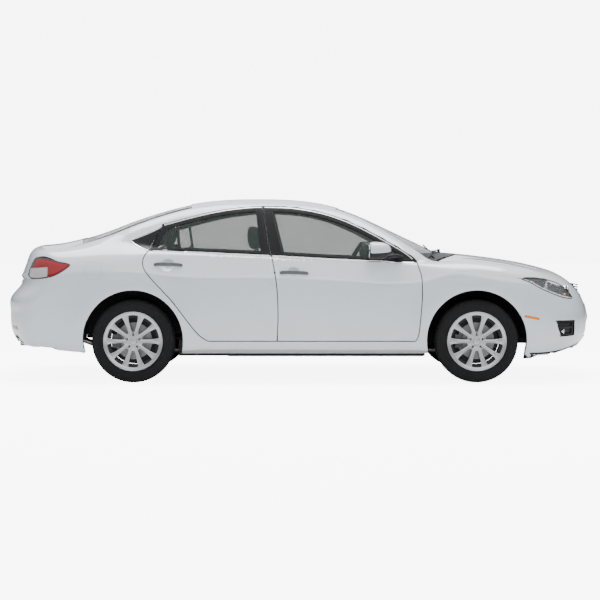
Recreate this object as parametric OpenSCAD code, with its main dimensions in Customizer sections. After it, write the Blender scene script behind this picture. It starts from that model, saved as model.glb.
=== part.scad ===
// Four-door saloon car with a notchback boot, independent suspension and alloy wheels.
// Frame: +X to the nose, +Y to the car's left, +Z up. Origin: on the ground, at the centre of the car's box.

/* [Body] */
// Distance between the front and rear axle centres
wheelbase = 2790; // [2700:10:2900]
// From the front axle to the nose
front_overhang = 1025; // [980:5:1100]
// From the rear axle to the tail
rear_overhang = 1105; // [1050:5:1200]
// Width across the body sides, without mirrors
body_width = 1840; // [1790:10:1900]
// Height of the roof above the ground
body_height = 1512; // [1480:2:1580]

/* [Panels] */
// Gap round the hood and the boot lid
panel_gap = 6.6; // [6:0.2:8]
// Gap round the doors
door_gap = 8; // [7:0.5:10]
// Gap between the hood's rear edge and the cowl
hood_rear_gap = 18; // [16:1:24]
// Gap between panels that are fixed to each other
joint_gap = 0.5; // [0.3:0.1:1]
// Thickness of a whole door, skin to trim
door_thickness = 60; // [50:1:64]
// Thickness of hood, boot lid and roof with their inner panels
lid_thickness = 34; // [28:1:40]
// Thickness of fenders, bumpers and rear quarters
skin_thickness = 28; // [22:1:34]
// Depth of pillars, sill and roof rail
pillar_depth = 118; // [112:1:130]
// Thickness of all glass
glass_thickness = 6; // [5:1:8]
// How far the glass lies below the skin
glass_depth = 6; // [4:1:10]

/* [Wheels] */
// Outer radius of a tyre
tyre_radius = 338; // [326:1:345]
// Width of a tyre
tyre_width = 215; // [195:5:225]
// Outer radius of the rim's flange
rim_radius = 242; // [232:1:246]
// Distance between the centres of left and right wheels
track = 1570; // [1550:5:1590]
// Radial gap between tyre and wheel arch
arch_gap = 70; // [62:1:75]
// Radius of a brake disc
disc_radius = 150; // [135:1:158]
// Radius of the wheel's spindle
spindle_radius = 22; // [18:1:26]
// Radius of the circle that the wheel nuts lie on
nut_circle_radius = 57.15; // [50:0.05:60]

/* [Cabin] */
// Distance of a front seat's centre from the middle of the car
seat_offset = 375; // [355:5:385]
// Radius of the steering wheel's rim, to the middle of the grip
steering_wheel_radius = 178; // [165:1:190]
// Width of a front seat's cushion
seat_width = 480; // [450:5:485]

/* [Hidden] */
$fn = 64;

// Running clearance of a pin in its bore, on the radius
pin_clearance = 0.05;
// Gap that keeps a soft or curved piece off its seat
seat_clearance = 0.3;

length = front_overhang + wheelbase + rear_overhang;
front_axle_x = length / 2 - front_overhang;
rear_axle_x = front_axle_x - wheelbase;
arch_radius = tyre_radius + arch_gap;
arch_z = tyre_radius + 7;

// ---- From the drawing's own frame to the car's ----
// The body's lines are drawn for a 4920 x 1840 x 1512 car, and these scales carry them over.
drawn_tail = -2460;
drawn_rear_axle = -1355;
drawn_front_axle = 1435;
drawn_nose = 2460;
width_scale = body_width / 1840;
height_scale = body_height / 1512;
function station(x) = lookup(x, [[drawn_tail, -length / 2], [drawn_rear_axle, rear_axle_x],
    [drawn_front_axle, front_axle_x], [drawn_nose, length / 2]]);
function height(z) = z * height_scale;
function side_point(p) = [station(p[0]), height(p[1])];
function plan_point(p) = [station(p[0]), p[1] * width_scale];
function body_point(p) = [station(p[0]), p[1] * width_scale, height(p[2])];

// ---- Curves ----
function slope(k, i) = i == 0 ? (k[1][1] - k[0][1]) / (k[1][0] - k[0][0])
    : i == len(k) - 1 ? (k[i][1] - k[i-1][1]) / (k[i][0] - k[i-1][0])
    : ((k[i+1][1] - k[i][1]) / (k[i+1][0] - k[i][0]) * (k[i][0] - k[i-1][0])
        + (k[i][1] - k[i-1][1]) / (k[i][0] - k[i-1][0]) * (k[i+1][0] - k[i][0])) / (k[i+1][0] - k[i-1][0]);
function hermite(a, b, sa, sb, t) = let(h = b[0] - a[0])
    (2*t*t*t - 3*t*t + 1) * a[1] + (t*t*t - 2*t*t + t) * h * sa
    + (3*t*t - 2*t*t*t) * b[1] + (t*t*t - t*t) * h * sb;
// A smooth curve through knots [x, value], as a table for lookup()
function curve(k, steps = 6) = concat([for (i = [0 : len(k) - 2], j = [0 : steps - 1])
    [k[i][0] + (k[i+1][0] - k[i][0]) * j / steps,
     hermite(k[i], k[i+1], slope(k, i), slope(k, i+1), j / steps)]], [k[len(k) - 1]]);
// A smooth open line through points [x, y]
function line_through(p, steps = 2) = let(n = len(p)) concat([for (i = [0 : n - 2], j = [0 : steps - 1])
    let(a = p[max(i-1, 0)], b = p[i], c = p[i+1], d = p[min(i+2, n-1)], t = j / steps)
    0.5 * (2*b + (c - a)*t + (2*a - 5*b + 4*c - d)*t*t + (3*b - a - 3*c + d)*t*t*t)], [p[n-1]]);
function reversed(p) = [for (i = [len(p) - 1 : -1 : 0]) p[i]];

// Blended minimum and maximum: k is the width of the blend
function soft_min(a, b, k) = let(h = max(k - abs(a - b), 0) / k) min(a, b) - h*h*k/4;
function soft_max(a, b, k) = let(h = max(k - abs(a - b), 0) / k) max(a, b) + h*h*k/4;
function bell(t) = exp(-t * t);

// ---- The body's lines ----
// Centre line of windshield, roof and rear window
roof_line = curve([[-2460, 760], [-2150, 980], [-1911, 1118], [-1824, 1160], [-1737, 1199], [-1564, 1275],
    [-1390, 1341], [-1216, 1398], [-1042, 1446], [-869, 1481], [-608, 1507], [-350, 1512], [-174, 1510],
    [0, 1499], [174, 1474], [347, 1430], [521, 1365], [695, 1285], [869, 1203], [1042, 1121], [1200, 1042],
    [1400, 940], [1800, 700], [2460, 300]]);
// How far the roof has dropped 600 mm from the centre line
roof_crown = curve([[-2100, 80], [-1800, 72], [-1400, 58], [-1000, 48], [-600, 44], [0, 42], [400, 38],
    [650, 45], [900, 62], [1150, 84], [1400, 100]]);
// Centre line of hood and boot lid, and of the waist between them
deck_line = curve([[-2460, 1040], [-2293, 1110], [-2172, 1122], [-1998, 1129], [-1850, 1133], [-1600, 1150],
    [-1223, 1162], [-989, 1154], [-646, 1139], [-233, 1120], [182, 1097], [556, 1079], [930, 1062],
    [1129, 1058], [1390, 1039], [1564, 1019], [1737, 995], [1911, 964], [2085, 920], [2172, 893],
    [2259, 858], [2346, 812], [2460, 730]]);
deck_crown = curve([[-2460, 60], [-1900, 62], [-1400, 78], [-1223, 85], [930, 86], [1100, 86], [1435, 62],
    [1700, 66], [2000, 80], [2460, 110]]);
// Half width of the body at its shoulder, along the car
shoulder_width = curve([[-2460, 780], [-2300, 822], [-2100, 858], [-1900, 882], [-1700, 897], [-1355, 902],
    [-950, 904], [-231, 908], [324, 908], [809, 903], [1100, 898], [1435, 896], [1700, 886], [1900, 866],
    [2100, 832], [2300, 780], [2460, 700]]);
// Height of the shoulder, above which the side leans in
shoulder_height = curve([[-2460, 800], [-2100, 850], [-1700, 880], [-1350, 890], [-955, 845], [-243, 834],
    [324, 811], [809, 785], [1000, 805], [1200, 865], [1435, 905], [1700, 880], [1900, 810], [2100, 740],
    [2460, 640]]);
// Half width of the cabin at the height of the waist
cabin_width = curve([[-2150, 640], [-1850, 695], [-1650, 730], [-1379, 768], [-1223, 784], [-989, 803],
    [-646, 820], [-231, 828], [182, 828], [556, 818], [930, 790], [1100, 762], [1250, 730], [1400, 690]]);
waist_height = 1029;
cabin_lean = 0.514;
cabin_bulge = 12;
glass_rise = 396;
// Profile of nose and tail on the centre line, by height
nose_line = curve([[180, 2290], [278, 2385], [369, 2446], [467, 2460], [560, 2450], [629, 2430], [700, 2404],
    [760, 2374], [833, 2318], [920, 2230]]);
tail_line = curve([[180, -2330], [313, -2400], [361, -2430], [410, -2448], [556, -2460], [694, -2450],
    [727, -2424], [784, -2374], [841, -2352], [938, -2334], [1044, -2302], [1093, -2284], [1160, -2230]]);
nose_sweep = 360;
tail_sweep = 235;
// Widths of the blends between side and top, and between cabin and body
shoulder_blend = curve([[-2460, 90], [-1500, 110], [-1200, 50], [-900, 22], [930, 22], [1150, 60],
    [1435, 110], [2460, 110]]);
cabin_blend = curve([[-2200, 150], [-1550, 130], [-1300, 60], [-1050, 12], [900, 12], [1100, 26],
    [1400, 40]]);
cant_blend = 84;
nose_blend = 130;
tail_blend = 90;
underside = 190;

function arch_flare(x, z, axle) = 15 * bell((norm([x - axle, z - 345]) - 440) / 110);
function side_width(x, z) = let(s = lookup(x, shoulder_height), up = z - s, down = s - z)
    lookup(x, shoulder_width)
    - (up > 40 ? 0.40 * (up - 20) : up > 0 ? 0.005 * up * up : 0)
    - (down > 0 ? 24 * pow(down / 500, 3) : 0)
    - (z < 330 ? 20 * pow((330 - z) / 95, 2) : 0)
    + arch_flare(x, z, drawn_front_axle) + arch_flare(x, z, drawn_rear_axle);
function cabin_side(x, z) = let(u = (z - waist_height) / glass_rise)
    lookup(x, cabin_width) - cabin_lean * (z - waist_height) + 4 * cabin_bulge * u * (1 - u);
function deck_top(x, y) = lookup(x, deck_line) - lookup(x, deck_crown) * pow(abs(y) / 800, 2.2)
    + 14 * bell((abs(y) - 740) / 110) * bell((x - 1600) / 420);
function roof_top(x, y) = lookup(x, roof_line) - lookup(x, roof_crown) * pow(y / 600, 2);
// Negative inside the body, and about the distance in mm from its surface
function lower_body(x, y, z) = let(
    flank = soft_max(abs(y) - side_width(x, z), z - deck_top(x, y), lookup(x, shoulder_blend)))
    x > 0 ? soft_max(flank, x - lookup(z, nose_line) + nose_sweep * pow(abs(y) / 850, 2.6), nose_blend)
        : soft_max(flank, lookup(z, tail_line) + tail_sweep * pow(abs(y) / 850, 3) - x, tail_blend);
function cabin(x, y, z) = soft_max(abs(y) - cabin_side(x, z), z - roof_top(x, y), cant_blend);
function body_field(x, y, z) = max(underside - z,
    z < 850 ? lower_body(x, y, z) : soft_min(lower_body(x, y, z), cabin(x, y, z), lookup(x, cabin_blend)));

// ---- The body's surface as a closed mesh, at a depth below the skin ----
// Rays run out from a spine inside the car: across it along the cabin, and fanned round its two ends.
spine_z = 620;
spine_front = 1750;
spine_back = -1750;
reach = 1500;
function hit(o, d, depth, lo, hi, n) = let(m = (lo + hi) / 2, p = o + m * d)
    n == 0 ? p
    : body_field(p[0], p[1], p[2]) + depth > 0 ? hit(o, d, depth, lo, m, n - 1) : hit(o, d, depth, m, hi,
        n - 1);
fine_angles = [-90, -50, -31, -22, -13, -3, 5, 10, 14, 18, 21.5, 25, 29, 34, 39, 44, 49, 53, 57, 63, 72, 90];
coarse_angles = [-90, -45, -28, -14, 2, 12, 21, 28, 38, 47, 55, 66, 90];
fine_fan = [0, 14, 27, 39, 50, 60, 70, 80];
coarse_fan = [0, 20, 40, 60, 76];
function rays(fan, steps) = concat(
    [for (i = [len(fan) - 1 : -1 : 0]) [spine_front, cos(fan[i]), sin(fan[i])]],
    [for (i = [1 : steps - 1]) [spine_front + (spine_back - spine_front) * i / steps, 1, 0]],
    [for (a = fan) [spine_back, cos(a), -sin(a)]]);
function ring(ray, angles, depth) = let(
    half = [for (a = angles) hit([ray[0], 0, spine_z], [ray[2], -cos(a) * ray[1], sin(a) * ray[1]],
        depth, 0, reach, 13)])
    concat(half, [for (i = [len(half) - 2 : -1 : 1]) [half[i][0], -half[i][1], half[i][2]]]);
module body_solid(depth = 0, fine = true) {
    angles = fine ? fine_angles : coarse_angles;
    ray_list = rays(fine ? fine_fan : coarse_fan, fine ? 27 : 13);
    n = 2 * (len(angles) - 1);
    m = len(ray_list);
    points = [for (r = ray_list) each ring(r, angles, depth)];
    nose = hit([spine_front, 0, spine_z], [1, 0, 0], depth, 0, reach, 13);
    tail = hit([spine_back, 0, spine_z], [-1, 0, 0], depth, 0, reach, 13);
    polyhedron([for (p = concat(points, [nose, tail])) body_point(p)], concat(
        [for (i = [0 : m - 2], j = [0 : n - 1]) [i*n + j, (i+1)*n + j, (i+1)*n + (j+1) % n, i*n + (j+1) % n]],
        [for (j = [0 : n - 1]) [m*n, j, (j+1) % n]],
        [for (j = [0 : n - 1]) [m*n + 1, (m-1)*n + (j+1) % n, (m-1)*n + j]]));
}
// The skin between two depths
module shell(thickness, depth = 0, fine_inside = false) {
    difference() {
        body_solid(depth);
        body_solid(depth + thickness, fine_inside);
    }
}
// A plain layer under the skin
module layer(outer_depth, inner_depth) {
    difference() {
        body_solid(outer_depth, false);
        body_solid(inner_depth, false);
    }
}
// A free-form panel is one smooth skin of facets
module free_form() {
    resize([0, 0, 0]) children();
}
module left() {
    mirror([0, 1, 0]) children();
}
module both_sides() {
    children();
    left() children();
}

// ---- Prisms that cut the skin into panels ----
// Across the car, on its right side, from an outline [x, z]
module side_prism(points, grow = 0, inner = 100, outer = 1100) {
    translate([0, -inner, 0]) rotate([90, 0, 0]) linear_extrude(outer - inner)
        offset(delta = grow) polygon([for (p = points) side_point(p)]);
}
// Down through the car, from an outline [x, y]
module plan_prism(points, grow = 0, bottom = 900, top = 1700) {
    translate([0, 0, height(bottom)]) linear_extrude(height(top - bottom))
        offset(delta = grow) polygon([for (p = points) plan_point(p)]);
}
// Along the car, from an outline [y, z]
module front_prism(points, grow = 0, from = 2000, to = 2600) {
    translate([station(from), 0, 0]) rotate([90, 0, 90]) linear_extrude(station(to) - station(from))
        offset(delta = grow) polygon([for (p = points) [p[0] * width_scale, height(p[1])]]);
}
// Lines given for the right side are made whole by their reflection
function whole(half) = concat(half, [for (p = reversed(half)) [p[0], -p[1]]]);

// ---- Outlines ----
sill_bottom = 235;
sill_inner_y = 790 * width_scale;
door_bottom = 340;
front_door_nose = line_through([[951, 990], [968, 925], [984, 878], [991, 790], [991, 695], [982, 565],
    [968, 435],
    [955, 370], [935, door_bottom]]);
door_joint = line_through([[-186, door_bottom], [-178, 499], [-180, 663], [-194, 828], [-231, 1029],
    [-271, 1190],
    [-307, 1437]]);
front_door_top = line_through([[-307, 1437], [-99, 1431], [90, 1405], [279, 1355], [468, 1277], [658, 1177],
    [847, 1066], [951, 990]]);
front_door_outline = concat(front_door_nose, door_joint, front_door_top);
rear_door_tail = line_through([[-1133, 1285], [-1180, 1185], [-1225, 1090], [-1262, 1035], [-1279, 981],
    [-1260, 916], [-1180, 817], [-1044, 674], [-952, 554], [-859, 433], [-802, 373], [-746, door_bottom]]);
rear_door_top = line_through([[-307, 1437], [-417, 1434], [-654, 1404], [-875, 1355], [-1133, 1285]]);
rear_door_outline = concat(rear_door_top, rear_door_tail, door_joint);
front_window = concat(line_through([[-228, 1400], [-99, 1398], [90, 1372], [279, 1322], [468, 1244],
    [658, 1144],
    [800, 1060]]), [[800, 985], [-140, 1022]]);
rear_window_of_door = concat(line_through([[-366, 1402], [-417, 1400], [-654, 1370], [-875, 1321],
    [-1085, 1262]]), [[-1172, 1086], [-1160, 1075], [-989, 1067], [-646, 1052], [-318, 1038]]);

windshield_base = line_through([[1160, 0], [1135, 250], [1080, 480], [985, 708]]);
windshield_top = line_through([[290, 562], [322, 300], [332, 0]]);
rear_glass_top = line_through([[-930, 0], [-925, 300], [-895, 570]]);
rear_glass_base = line_through([[-1790, 655], [-1815, 480], [-1838, 250], [-1846, 0]]);
roof_edge = [[290, 562], [-100, 572], [-500, 574], [-895, 570]];
windshield_outline = whole(concat(windshield_base, windshield_top));
roof_outline = whole(concat(reversed(windshield_top), roof_edge, reversed(rear_glass_top)));
rear_glass_outline = whole(concat(rear_glass_top, rear_glass_base));
cowl_front = line_through([[1350, 0], [1330, 250], [1260, 500], [1130, 765]]);
cowl_outline = whole(concat(cowl_front, [[985, 708]], reversed(windshield_base)));
hood_front = line_through([[2250, 600], [2305, 350], [2325, 0]]);
hood_side = line_through([[1130, 765], [1400, 775], [1700, 768], [1950, 745], [2120, 700], [2250, 600]]);
hood_outline = whole(concat(cowl_front, hood_side, hood_front));
trunk_edge = [[-1790, 655], [-1850, 662], [-2100, 656], [-2300, 650], [-2560, 650]];
trunk_outline = whole(concat(reversed(rear_glass_base), trunk_edge));
trunk_lid_bottom = 735;
hood_lip = 780;
bumper_seam = [[1790, 225], [1790, 545], [1885, 822], [2225, 722], [2225, 1000]];
front_bumper_outline = concat(bumper_seam, [[2600, 1000], [2600, 330], [2292, 285], [2131, 249],
    [2000, 235]]);
fender_outline = concat(reversed(bumper_seam), [[1030, sill_bottom + 2], [931, sill_bottom + 2]],
    reversed(front_door_nose),
    [[985, 1040], [1060, 1200]]);
body_side_outline = [[1010, sill_bottom], [1010, 1300], [0, 1700], [-2600, 1700], [-2600, sill_bottom]];
rear_quarter_cavity = [[-790, 150], [-790, 900], [-1300, 1075], [-2600, 1075], [-2600, 150]];
upper_grille = [[-330, 690], [-360, 795], [360, 795], [330, 690]];
lower_grille = [[-430, 355], [-400, 480], [400, 480], [430, 355]];
fog_bezel = [[2074, 505], [2261, 500], [2253, 377], [2117, 371]];
exhaust_y = 600;
exhaust_z = 320;
exhaust_tip_radius = 36;
exhaust_notch = [[-75, 200], [-75, 340], [-45, 378], [45, 378], [75, 340], [75, 200]];
headlamp_outline = line_through([[1763, 848], [1912, 852], [2039, 835], [2143, 796], [2212, 740], [2258, 680],
    [2200, 677], [2120, 696], [1971, 756], [1855, 818], [1763, 848]]);
tail_lamp_outline = line_through([[-2170, 1018], [-2078, 1013], [-1962, 985], [-1865, 960], [-1928, 902],
    [-2021, 858], [-2135, 841], [-2221, 847], [-2233, 902], [-2210, 957], [-2170, 1018]]);
rear_bumper_seam = [[-1715, 200], [-1715, 500], [-1930, 640], [-1985, 740], [-2010, 862], [-2200, 862]];
rear_bumper_outline = concat(rear_bumper_seam, [[-2215, 730], [-2600, 730], [-2600, 360], [-2330, 330],
    [-2186, 303], [-1715, 246]]);

// ---- Hinge axes ----
// Half width of the body at a point of its side
function skin_y(x, z) = abs(hit([x, 0, z], [0, -1, 0], 0, 0, reach, 13)[1]);
// Each front-hinged door turns on an upright axis just behind its front edge and just under its skin.
hinge_depth = 12;
hinge_setback = 60;
hinge_boss_radius = 7.5;
hinge_pin_radius = 4;
hinge_boss_height = 24;
hinge_pocket_gap = 0.7;
hinge_plate = 8;
hinge_plate_width = 14;
hinge_clearance = 10;
front_hinge_heights = [520, 755];
rear_hinge_heights = [605, 800];
front_hinge = [991 - hinge_setback, skin_y(931, 650) - hinge_depth];
rear_hinge = [-180 - hinge_setback, skin_y(-240, 650) - hinge_depth];
hinge_sweep = norm([hinge_setback, door_thickness - hinge_depth]) + hinge_clearance;

// Half height of the body above a point of its plan
function skin_z(x, y) = hit([x, y, spine_z], [0, 0, 1], 0, 0, reach, 13)[2];
hood_hinge = [1150, 742];
hood_hinge_z = skin_z(hood_hinge[0], hood_hinge[1]) - 22;
lid_hinge = [-1700, 520];
lid_hinge_z = 1085;

// ---- Body panels ----
module wheel_arch(axle_x, inner = 640, radius = arch_radius, depth = 500) {
    both_sides() translate([axle_x, -inner, arch_z]) rotate([90, 0, 0]) cylinder(r = radius, h = depth);
}
liner_gap = 2;
liner_plate = 6;
// A prism across the whole car, from an outline [x, z]
module cross_prism(points, grow = 0) {
    side_prism(points, grow, -1100, 1100);
}
// Door cuts: a door leaves its opening forward and downward as it goes inward, so that it swings clear
module slanted_prism(points, forward, down) {
    multmatrix([[1, forward, 0, 0], [0, 1, 0, 0], [0, -down, 1, 0]])
        translate([0, -100, 0]) rotate([90, 0, 0]) linear_extrude(1000)
            offset(delta = -door_gap / 2) polygon([for (p = points) let(y = skin_y(p[0], p[1]) * width_scale)
                side_point(p) + [forward * y, -down * y]]);
}
// The way in through a door's opening: narrower below the waist, where the pillars carry the hinges
module door_way(outline) {
    side_prism(outline, -75, 300);
    intersection() {
        side_prism(outline, -42, 300);
        translate([-length / 2, -1000, height(900)]) cube([length, 1000, 1000]);
    }
}
module hinge_column(hinge, radius, grow = 0) {
    translate([station(hinge[0]), -hinge[1] * width_scale, height(300)])
        cylinder(r = radius + grow, h = height(800), $fn = 24);
}

// Thickness of the rail between a door's frame and the roof panel
drip_rail = 6;
// The pillar's half of a door's hinges: a pin held between two plates
module pillar_hinges(hinge, heights) {
    plate_z = hinge_boss_height / 2 + 1;
    for (z = heights) translate([station(hinge[0]), -hinge[1] * width_scale, height(z)]) {
        cylinder(r = hinge_pin_radius, h = 2 * (plate_z + hinge_plate), center = true);
        for (side = [0, 1]) mirror([0, 0, side]) translate([0, 0, plate_z]) {
            cylinder(r = hinge_plate_width / 2, h = hinge_plate);
            translate([-hinge_plate_width / 2, 0, 0])
                cube([hinge_plate_width, hinge_sweep + 12, hinge_plate]);
        }
    }
}
module body_side() {
    color("dimgray") {
        pillar_hinges(front_hinge, front_hinge_heights);
        pillar_hinges(rear_hinge, rear_hinge_heights);
    }
    color("white") free_form() difference() {
        intersection() {
            shell(pillar_depth);
            side_prism(body_side_outline, 0, 300);
        }
        // the doors' own places and the ways through them
        difference() {
            intersection() {
                union() {
                    side_prism(front_door_outline, door_gap / 2, 300);
                    side_prism(rear_door_outline, door_gap / 2, 300);
                }
                union() {
                    layer(-40, door_thickness + hinge_clearance);
                    hinge_column(front_hinge, hinge_sweep);
                    hinge_column(rear_hinge, hinge_sweep);
                }
            }
            plan_prism(roof_outline, drip_rail);
            plan_prism(windshield_outline, drip_rail);
        }
        door_way(front_door_outline);
        door_way(rear_door_outline);
        // the fender's place
        intersection() {
            side_prism(fender_outline, joint_gap / 2, 300);
            layer(-40, skin_thickness + joint_gap);
        }
        // the hollow rear quarter
        intersection() {
            body_solid(skin_thickness, false);
            difference() {
                side_prism(rear_quarter_cavity, 0, 300);
                side_prism(rear_door_outline, 34, 300);
            }
        }
        plan_prism(windshield_outline, joint_gap / 2);
        plan_prism(roof_outline, joint_gap / 2);
        plan_prism(rear_glass_outline, joint_gap / 2);
        plan_prism(cowl_outline, joint_gap / 2);
        plan_prism(hood_outline, panel_gap / 2);
        plan_prism(trunk_outline, panel_gap / 2, trunk_lid_bottom - 10);
        translate([lid_front_gap, 0, 0]) plan_prism(trunk_outline, panel_gap / 2);
        side_prism([[-1700, 100], [-1700, 247], [-2186, 305], [-2330, 332], [-2600, 362], [-2600, 100]], 0,
            300);
        cross_prism(rear_bumper_outline, joint_gap / 2);
        side_prism(tail_lamp_outline, joint_gap / 2, 400);
        wheel_arch(rear_axle_x);
        wheel_arch(rear_axle_x, 600, arch_radius + liner_gap + liner_plate + 1, 206);
        // the floor's place between the sills
        translate([-length / 2, -sill_inner_y, 0]) cube([length, sill_inner_y, height(door_bottom + 80)]);
    }
}
module fender() {
    color("white") free_form() difference() {
        intersection() {
            shell(skin_thickness);
            side_prism(fender_outline, -joint_gap / 2, 300);
        }
        side_prism(front_door_outline, door_gap / 2, 300);
        side_prism(headlamp_outline, joint_gap / 2, 300);
        plan_prism(hood_outline, panel_gap / 2, 600);
        plan_prism(cowl_outline, joint_gap / 2);
        plan_prism(windshield_outline, joint_gap / 2);
        wheel_arch(front_axle_x);
    }
}
module roof_panel() {
    color("white") free_form() intersection() {
        shell(lid_thickness);
        plan_prism(roof_outline, -joint_gap / 2);
    }
}
module cowl_panel() {
    color("dimgray") free_form() difference() {
        intersection() {
            shell(skin_thickness);
            plan_prism(cowl_outline, -joint_gap / 2);
        }
        plan_prism(hood_outline, hood_rear_gap - panel_gap / 2);
        // the hood's rear corners swing back under the panel's ends
        both_sides() intersection() {
            translate([-18, 0, 0]) plan_prism(hood_outline, hood_rear_gap - panel_gap / 2);
            box(0, length, -1000, -540 * width_scale, 0, 2000);
        }
    }
}
// The tow eye's socket is in the end of the right rail, behind a hole in the bumper
tow_eye_y = 432;
tow_eye_z = 475;
tow_eye_radius = 8;
tow_eye_depth = 60;
module front_bumper() {
    color("white") free_form() difference() {
        intersection() {
            shell(skin_thickness);
            cross_prism(front_bumper_outline, -joint_gap / 2);
        }
        both_sides() {
            side_prism(headlamp_outline, joint_gap / 2, 300);
            side_prism(fog_bezel, 0, 500);
        }
        plan_prism(hood_outline, panel_gap / 2, hood_lip - panel_gap);
        front_prism(upper_grille);
        front_prism(lower_grille);
        translate([length / 2 - 300, -tow_eye_y, tow_eye_z]) rotate([0, 90, 0])
            cylinder(r = tow_eye_radius + 6, h = 400, $fn = 16);
        wheel_arch(front_axle_x);
    }
}
module grille() {
    slat_pitch = 40;
    slot = 24;
    color("black") free_form() {
        difference() {
            layer(skin_thickness + seat_clearance, skin_thickness + 10);
            difference() {
                cross_prism([[0, 0], [2600, 0], [2600, 1700], [0, 1700]]);
                front_prism(upper_grille, 14);
                front_prism(lower_grille, 14);
            }
            cross_prism([[-2600, 0], [2100, 0], [2100, 1700], [-2600, 1700]]);
            for (z = [702 : slat_pitch : 760])
                front_prism([[-320, z], [320, z], [320, z + slot], [-320, z + slot]]);
            for (z = [368 : slat_pitch : 450])
                front_prism([[-390, z], [390, z], [390, z + slot], [-390, z + slot]]);
            plan_prism(hood_outline, panel_gap, hood_lip - 2 * panel_gap);
        }
        both_sides() intersection() {
            layer(skin_thickness + seat_clearance, skin_thickness + 10);
            side_prism(fog_bezel, 12, 480);
        }
    }
}
module rear_bumper() {
    color("white") free_form() difference() {
        intersection() {
            shell(skin_thickness);
            cross_prism(rear_bumper_outline, -joint_gap / 2);
        }
        both_sides() {
            side_prism(tail_lamp_outline, joint_gap / 2, 400);
            translate([-length / 2 - 50, -exhaust_y * width_scale, 0]) rotate([90, 0, 90]) linear_extrude(500)
                polygon([for (p = exhaust_notch) [p[0], height(p[1])]]);
        }
        plan_prism(trunk_outline, panel_gap, trunk_lid_bottom);
        wheel_arch(rear_axle_x);
    }
}
module windshield() {
    color("lightsteelblue", 0.5) free_form() intersection() {
        shell(glass_thickness, glass_depth, true);
        plan_prism(windshield_outline, -joint_gap / 2);
    }
}
module rear_window() {
    color("lightsteelblue", 0.5) free_form() difference() {
        intersection() {
            shell(glass_thickness, glass_depth, true);
            plan_prism(rear_glass_outline, -joint_gap / 2);
        }
        translate([lid_front_gap, 0, 0]) plan_prism(trunk_outline, panel_gap / 2);
    }
}
module headlamps() {
    color("silver") free_form() both_sides() difference() {
        intersection() {
            shell(60);
            side_prism(headlamp_outline, -joint_gap / 2, 400);
        }
        plan_prism(hood_outline, panel_gap / 2 + 2, hood_lip - 2 * panel_gap);
        wheel_arch(front_axle_x);
    }
}
module tail_lamps() {
    color("firebrick") free_form() both_sides() difference() {
        intersection() {
            shell(60);
            side_prism(tail_lamp_outline, -joint_gap / 2, 400);
        }
        plan_prism(trunk_outline, panel_gap / 2, trunk_lid_bottom);
    }
}
hood_lean = 0.25;
hood_bracket = 8;
hood_boss = 10;
hood_boss_radius = 9;
hood_pocket = hood_bracket + 2 * hood_boss + 16;
module hood_hinge_place() {
    for (side = [-1, 1]) translate([station(hood_hinge[0]), side * hood_hinge[1] * width_scale,
        height(hood_hinge_z)]) rotate([90, 0, 0]) children();
}
module hood() {
    color("white") {
        free_form() difference() {
            intersection() {
                shell(lid_thickness);
                plan_prism(hood_outline, -panel_gap / 2, hood_lip);
            }
            // the front edge leans back, as the hood swings a little forward when it rises
            difference() {
                translate([station(2050), -1000, 0]) cube([1000, 2000, 2000]);
                multmatrix([[1, 0, hood_lean, -hood_lean * height(835)], [0, 1, 0, 0], [0, 0, 1, 0]])
                    plan_prism(hood_outline, -panel_gap / 2, 500);
            }
            // pockets for the hinge brackets
            hood_hinge_place() translate([-90, -200, -hood_pocket / 2]) cube([104, 213.5, hood_pocket]);
        }
        hood_hinge_place() difference() {
            for (side = [-1, 1]) translate([0, 0, side * (hood_bracket / 2 + 1 + hood_boss / 2)]) {
                cylinder(r = hood_boss_radius, h = hood_boss, center = true);
                translate([0, -hood_boss_radius, -hood_boss / 2])
                    cube([hood_boss_radius + 12, 2 * hood_boss_radius, hood_boss]);
            }
            cylinder(r = hood_pin_radius + pin_clearance, h = 100, center = true);
        }
    }
}
lid_front_gap = 8;
// Goosenecks carry the boot lid round the rear window's lower edge
gooseneck_outline = [[-12, 0], [-58, -168], [-92, -180], [-262, -106], [-292, 8], [-330, 8], [-290, -128],
    [-95, -208], [-34, -196], [12, 0]];
hood_pin_radius = 6;
lid_pin_radius = 6;
lid_arm_plate = 12;
lid_bracket = 8;
module lid_hinge_place() {
    for (side = [-1, 1])
        translate([station(lid_hinge[0]), side * lid_hinge[1] * width_scale, height(lid_hinge_z)])
        rotate([90, 0, 0]) children();
}
module trunk_lid() {
    color("white") {
        free_form() {
            difference() {
                intersection() {
                    shell(lid_thickness);
                    plan_prism(trunk_outline, -panel_gap / 2, trunk_lid_bottom);
                }
                // a thin front edge, which swings clear of the rear window
                intersection() {
                    body_solid(11, false);
                    plan_prism(rear_glass_outline, 34);
                }
            }
            for (side = [-1, 1]) translate([station(lid_hinge[0]), side * lid_hinge[1] * width_scale
                + side * (lid_bracket / 2 + 6) + (side > 0 ? lid_arm_plate : 0), height(lid_hinge_z)])
                rotate([90, 0, 0]) difference() {
                    linear_extrude(lid_arm_plate) polygon(gooseneck_outline);
                    translate([0, 0, -1]) cylinder(r = 15, h = lid_arm_plate + 2);
                }
        }
        for (side = [-1, 1]) translate([station(lid_hinge[0]), side * lid_hinge[1] * width_scale
            + side * (lid_bracket / 2 + 1) + (side > 0 ? lid_arm_plate + 5 : 0), height(lid_hinge_z)])
            rotate([90, 0, 0]) difference() {
                cylinder(r = 18, h = lid_arm_plate + 5);
                translate([0, 0, -1]) cylinder(r = lid_pin_radius + pin_clearance, h = lid_arm_plate + 7);
            }
    }
}

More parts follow.
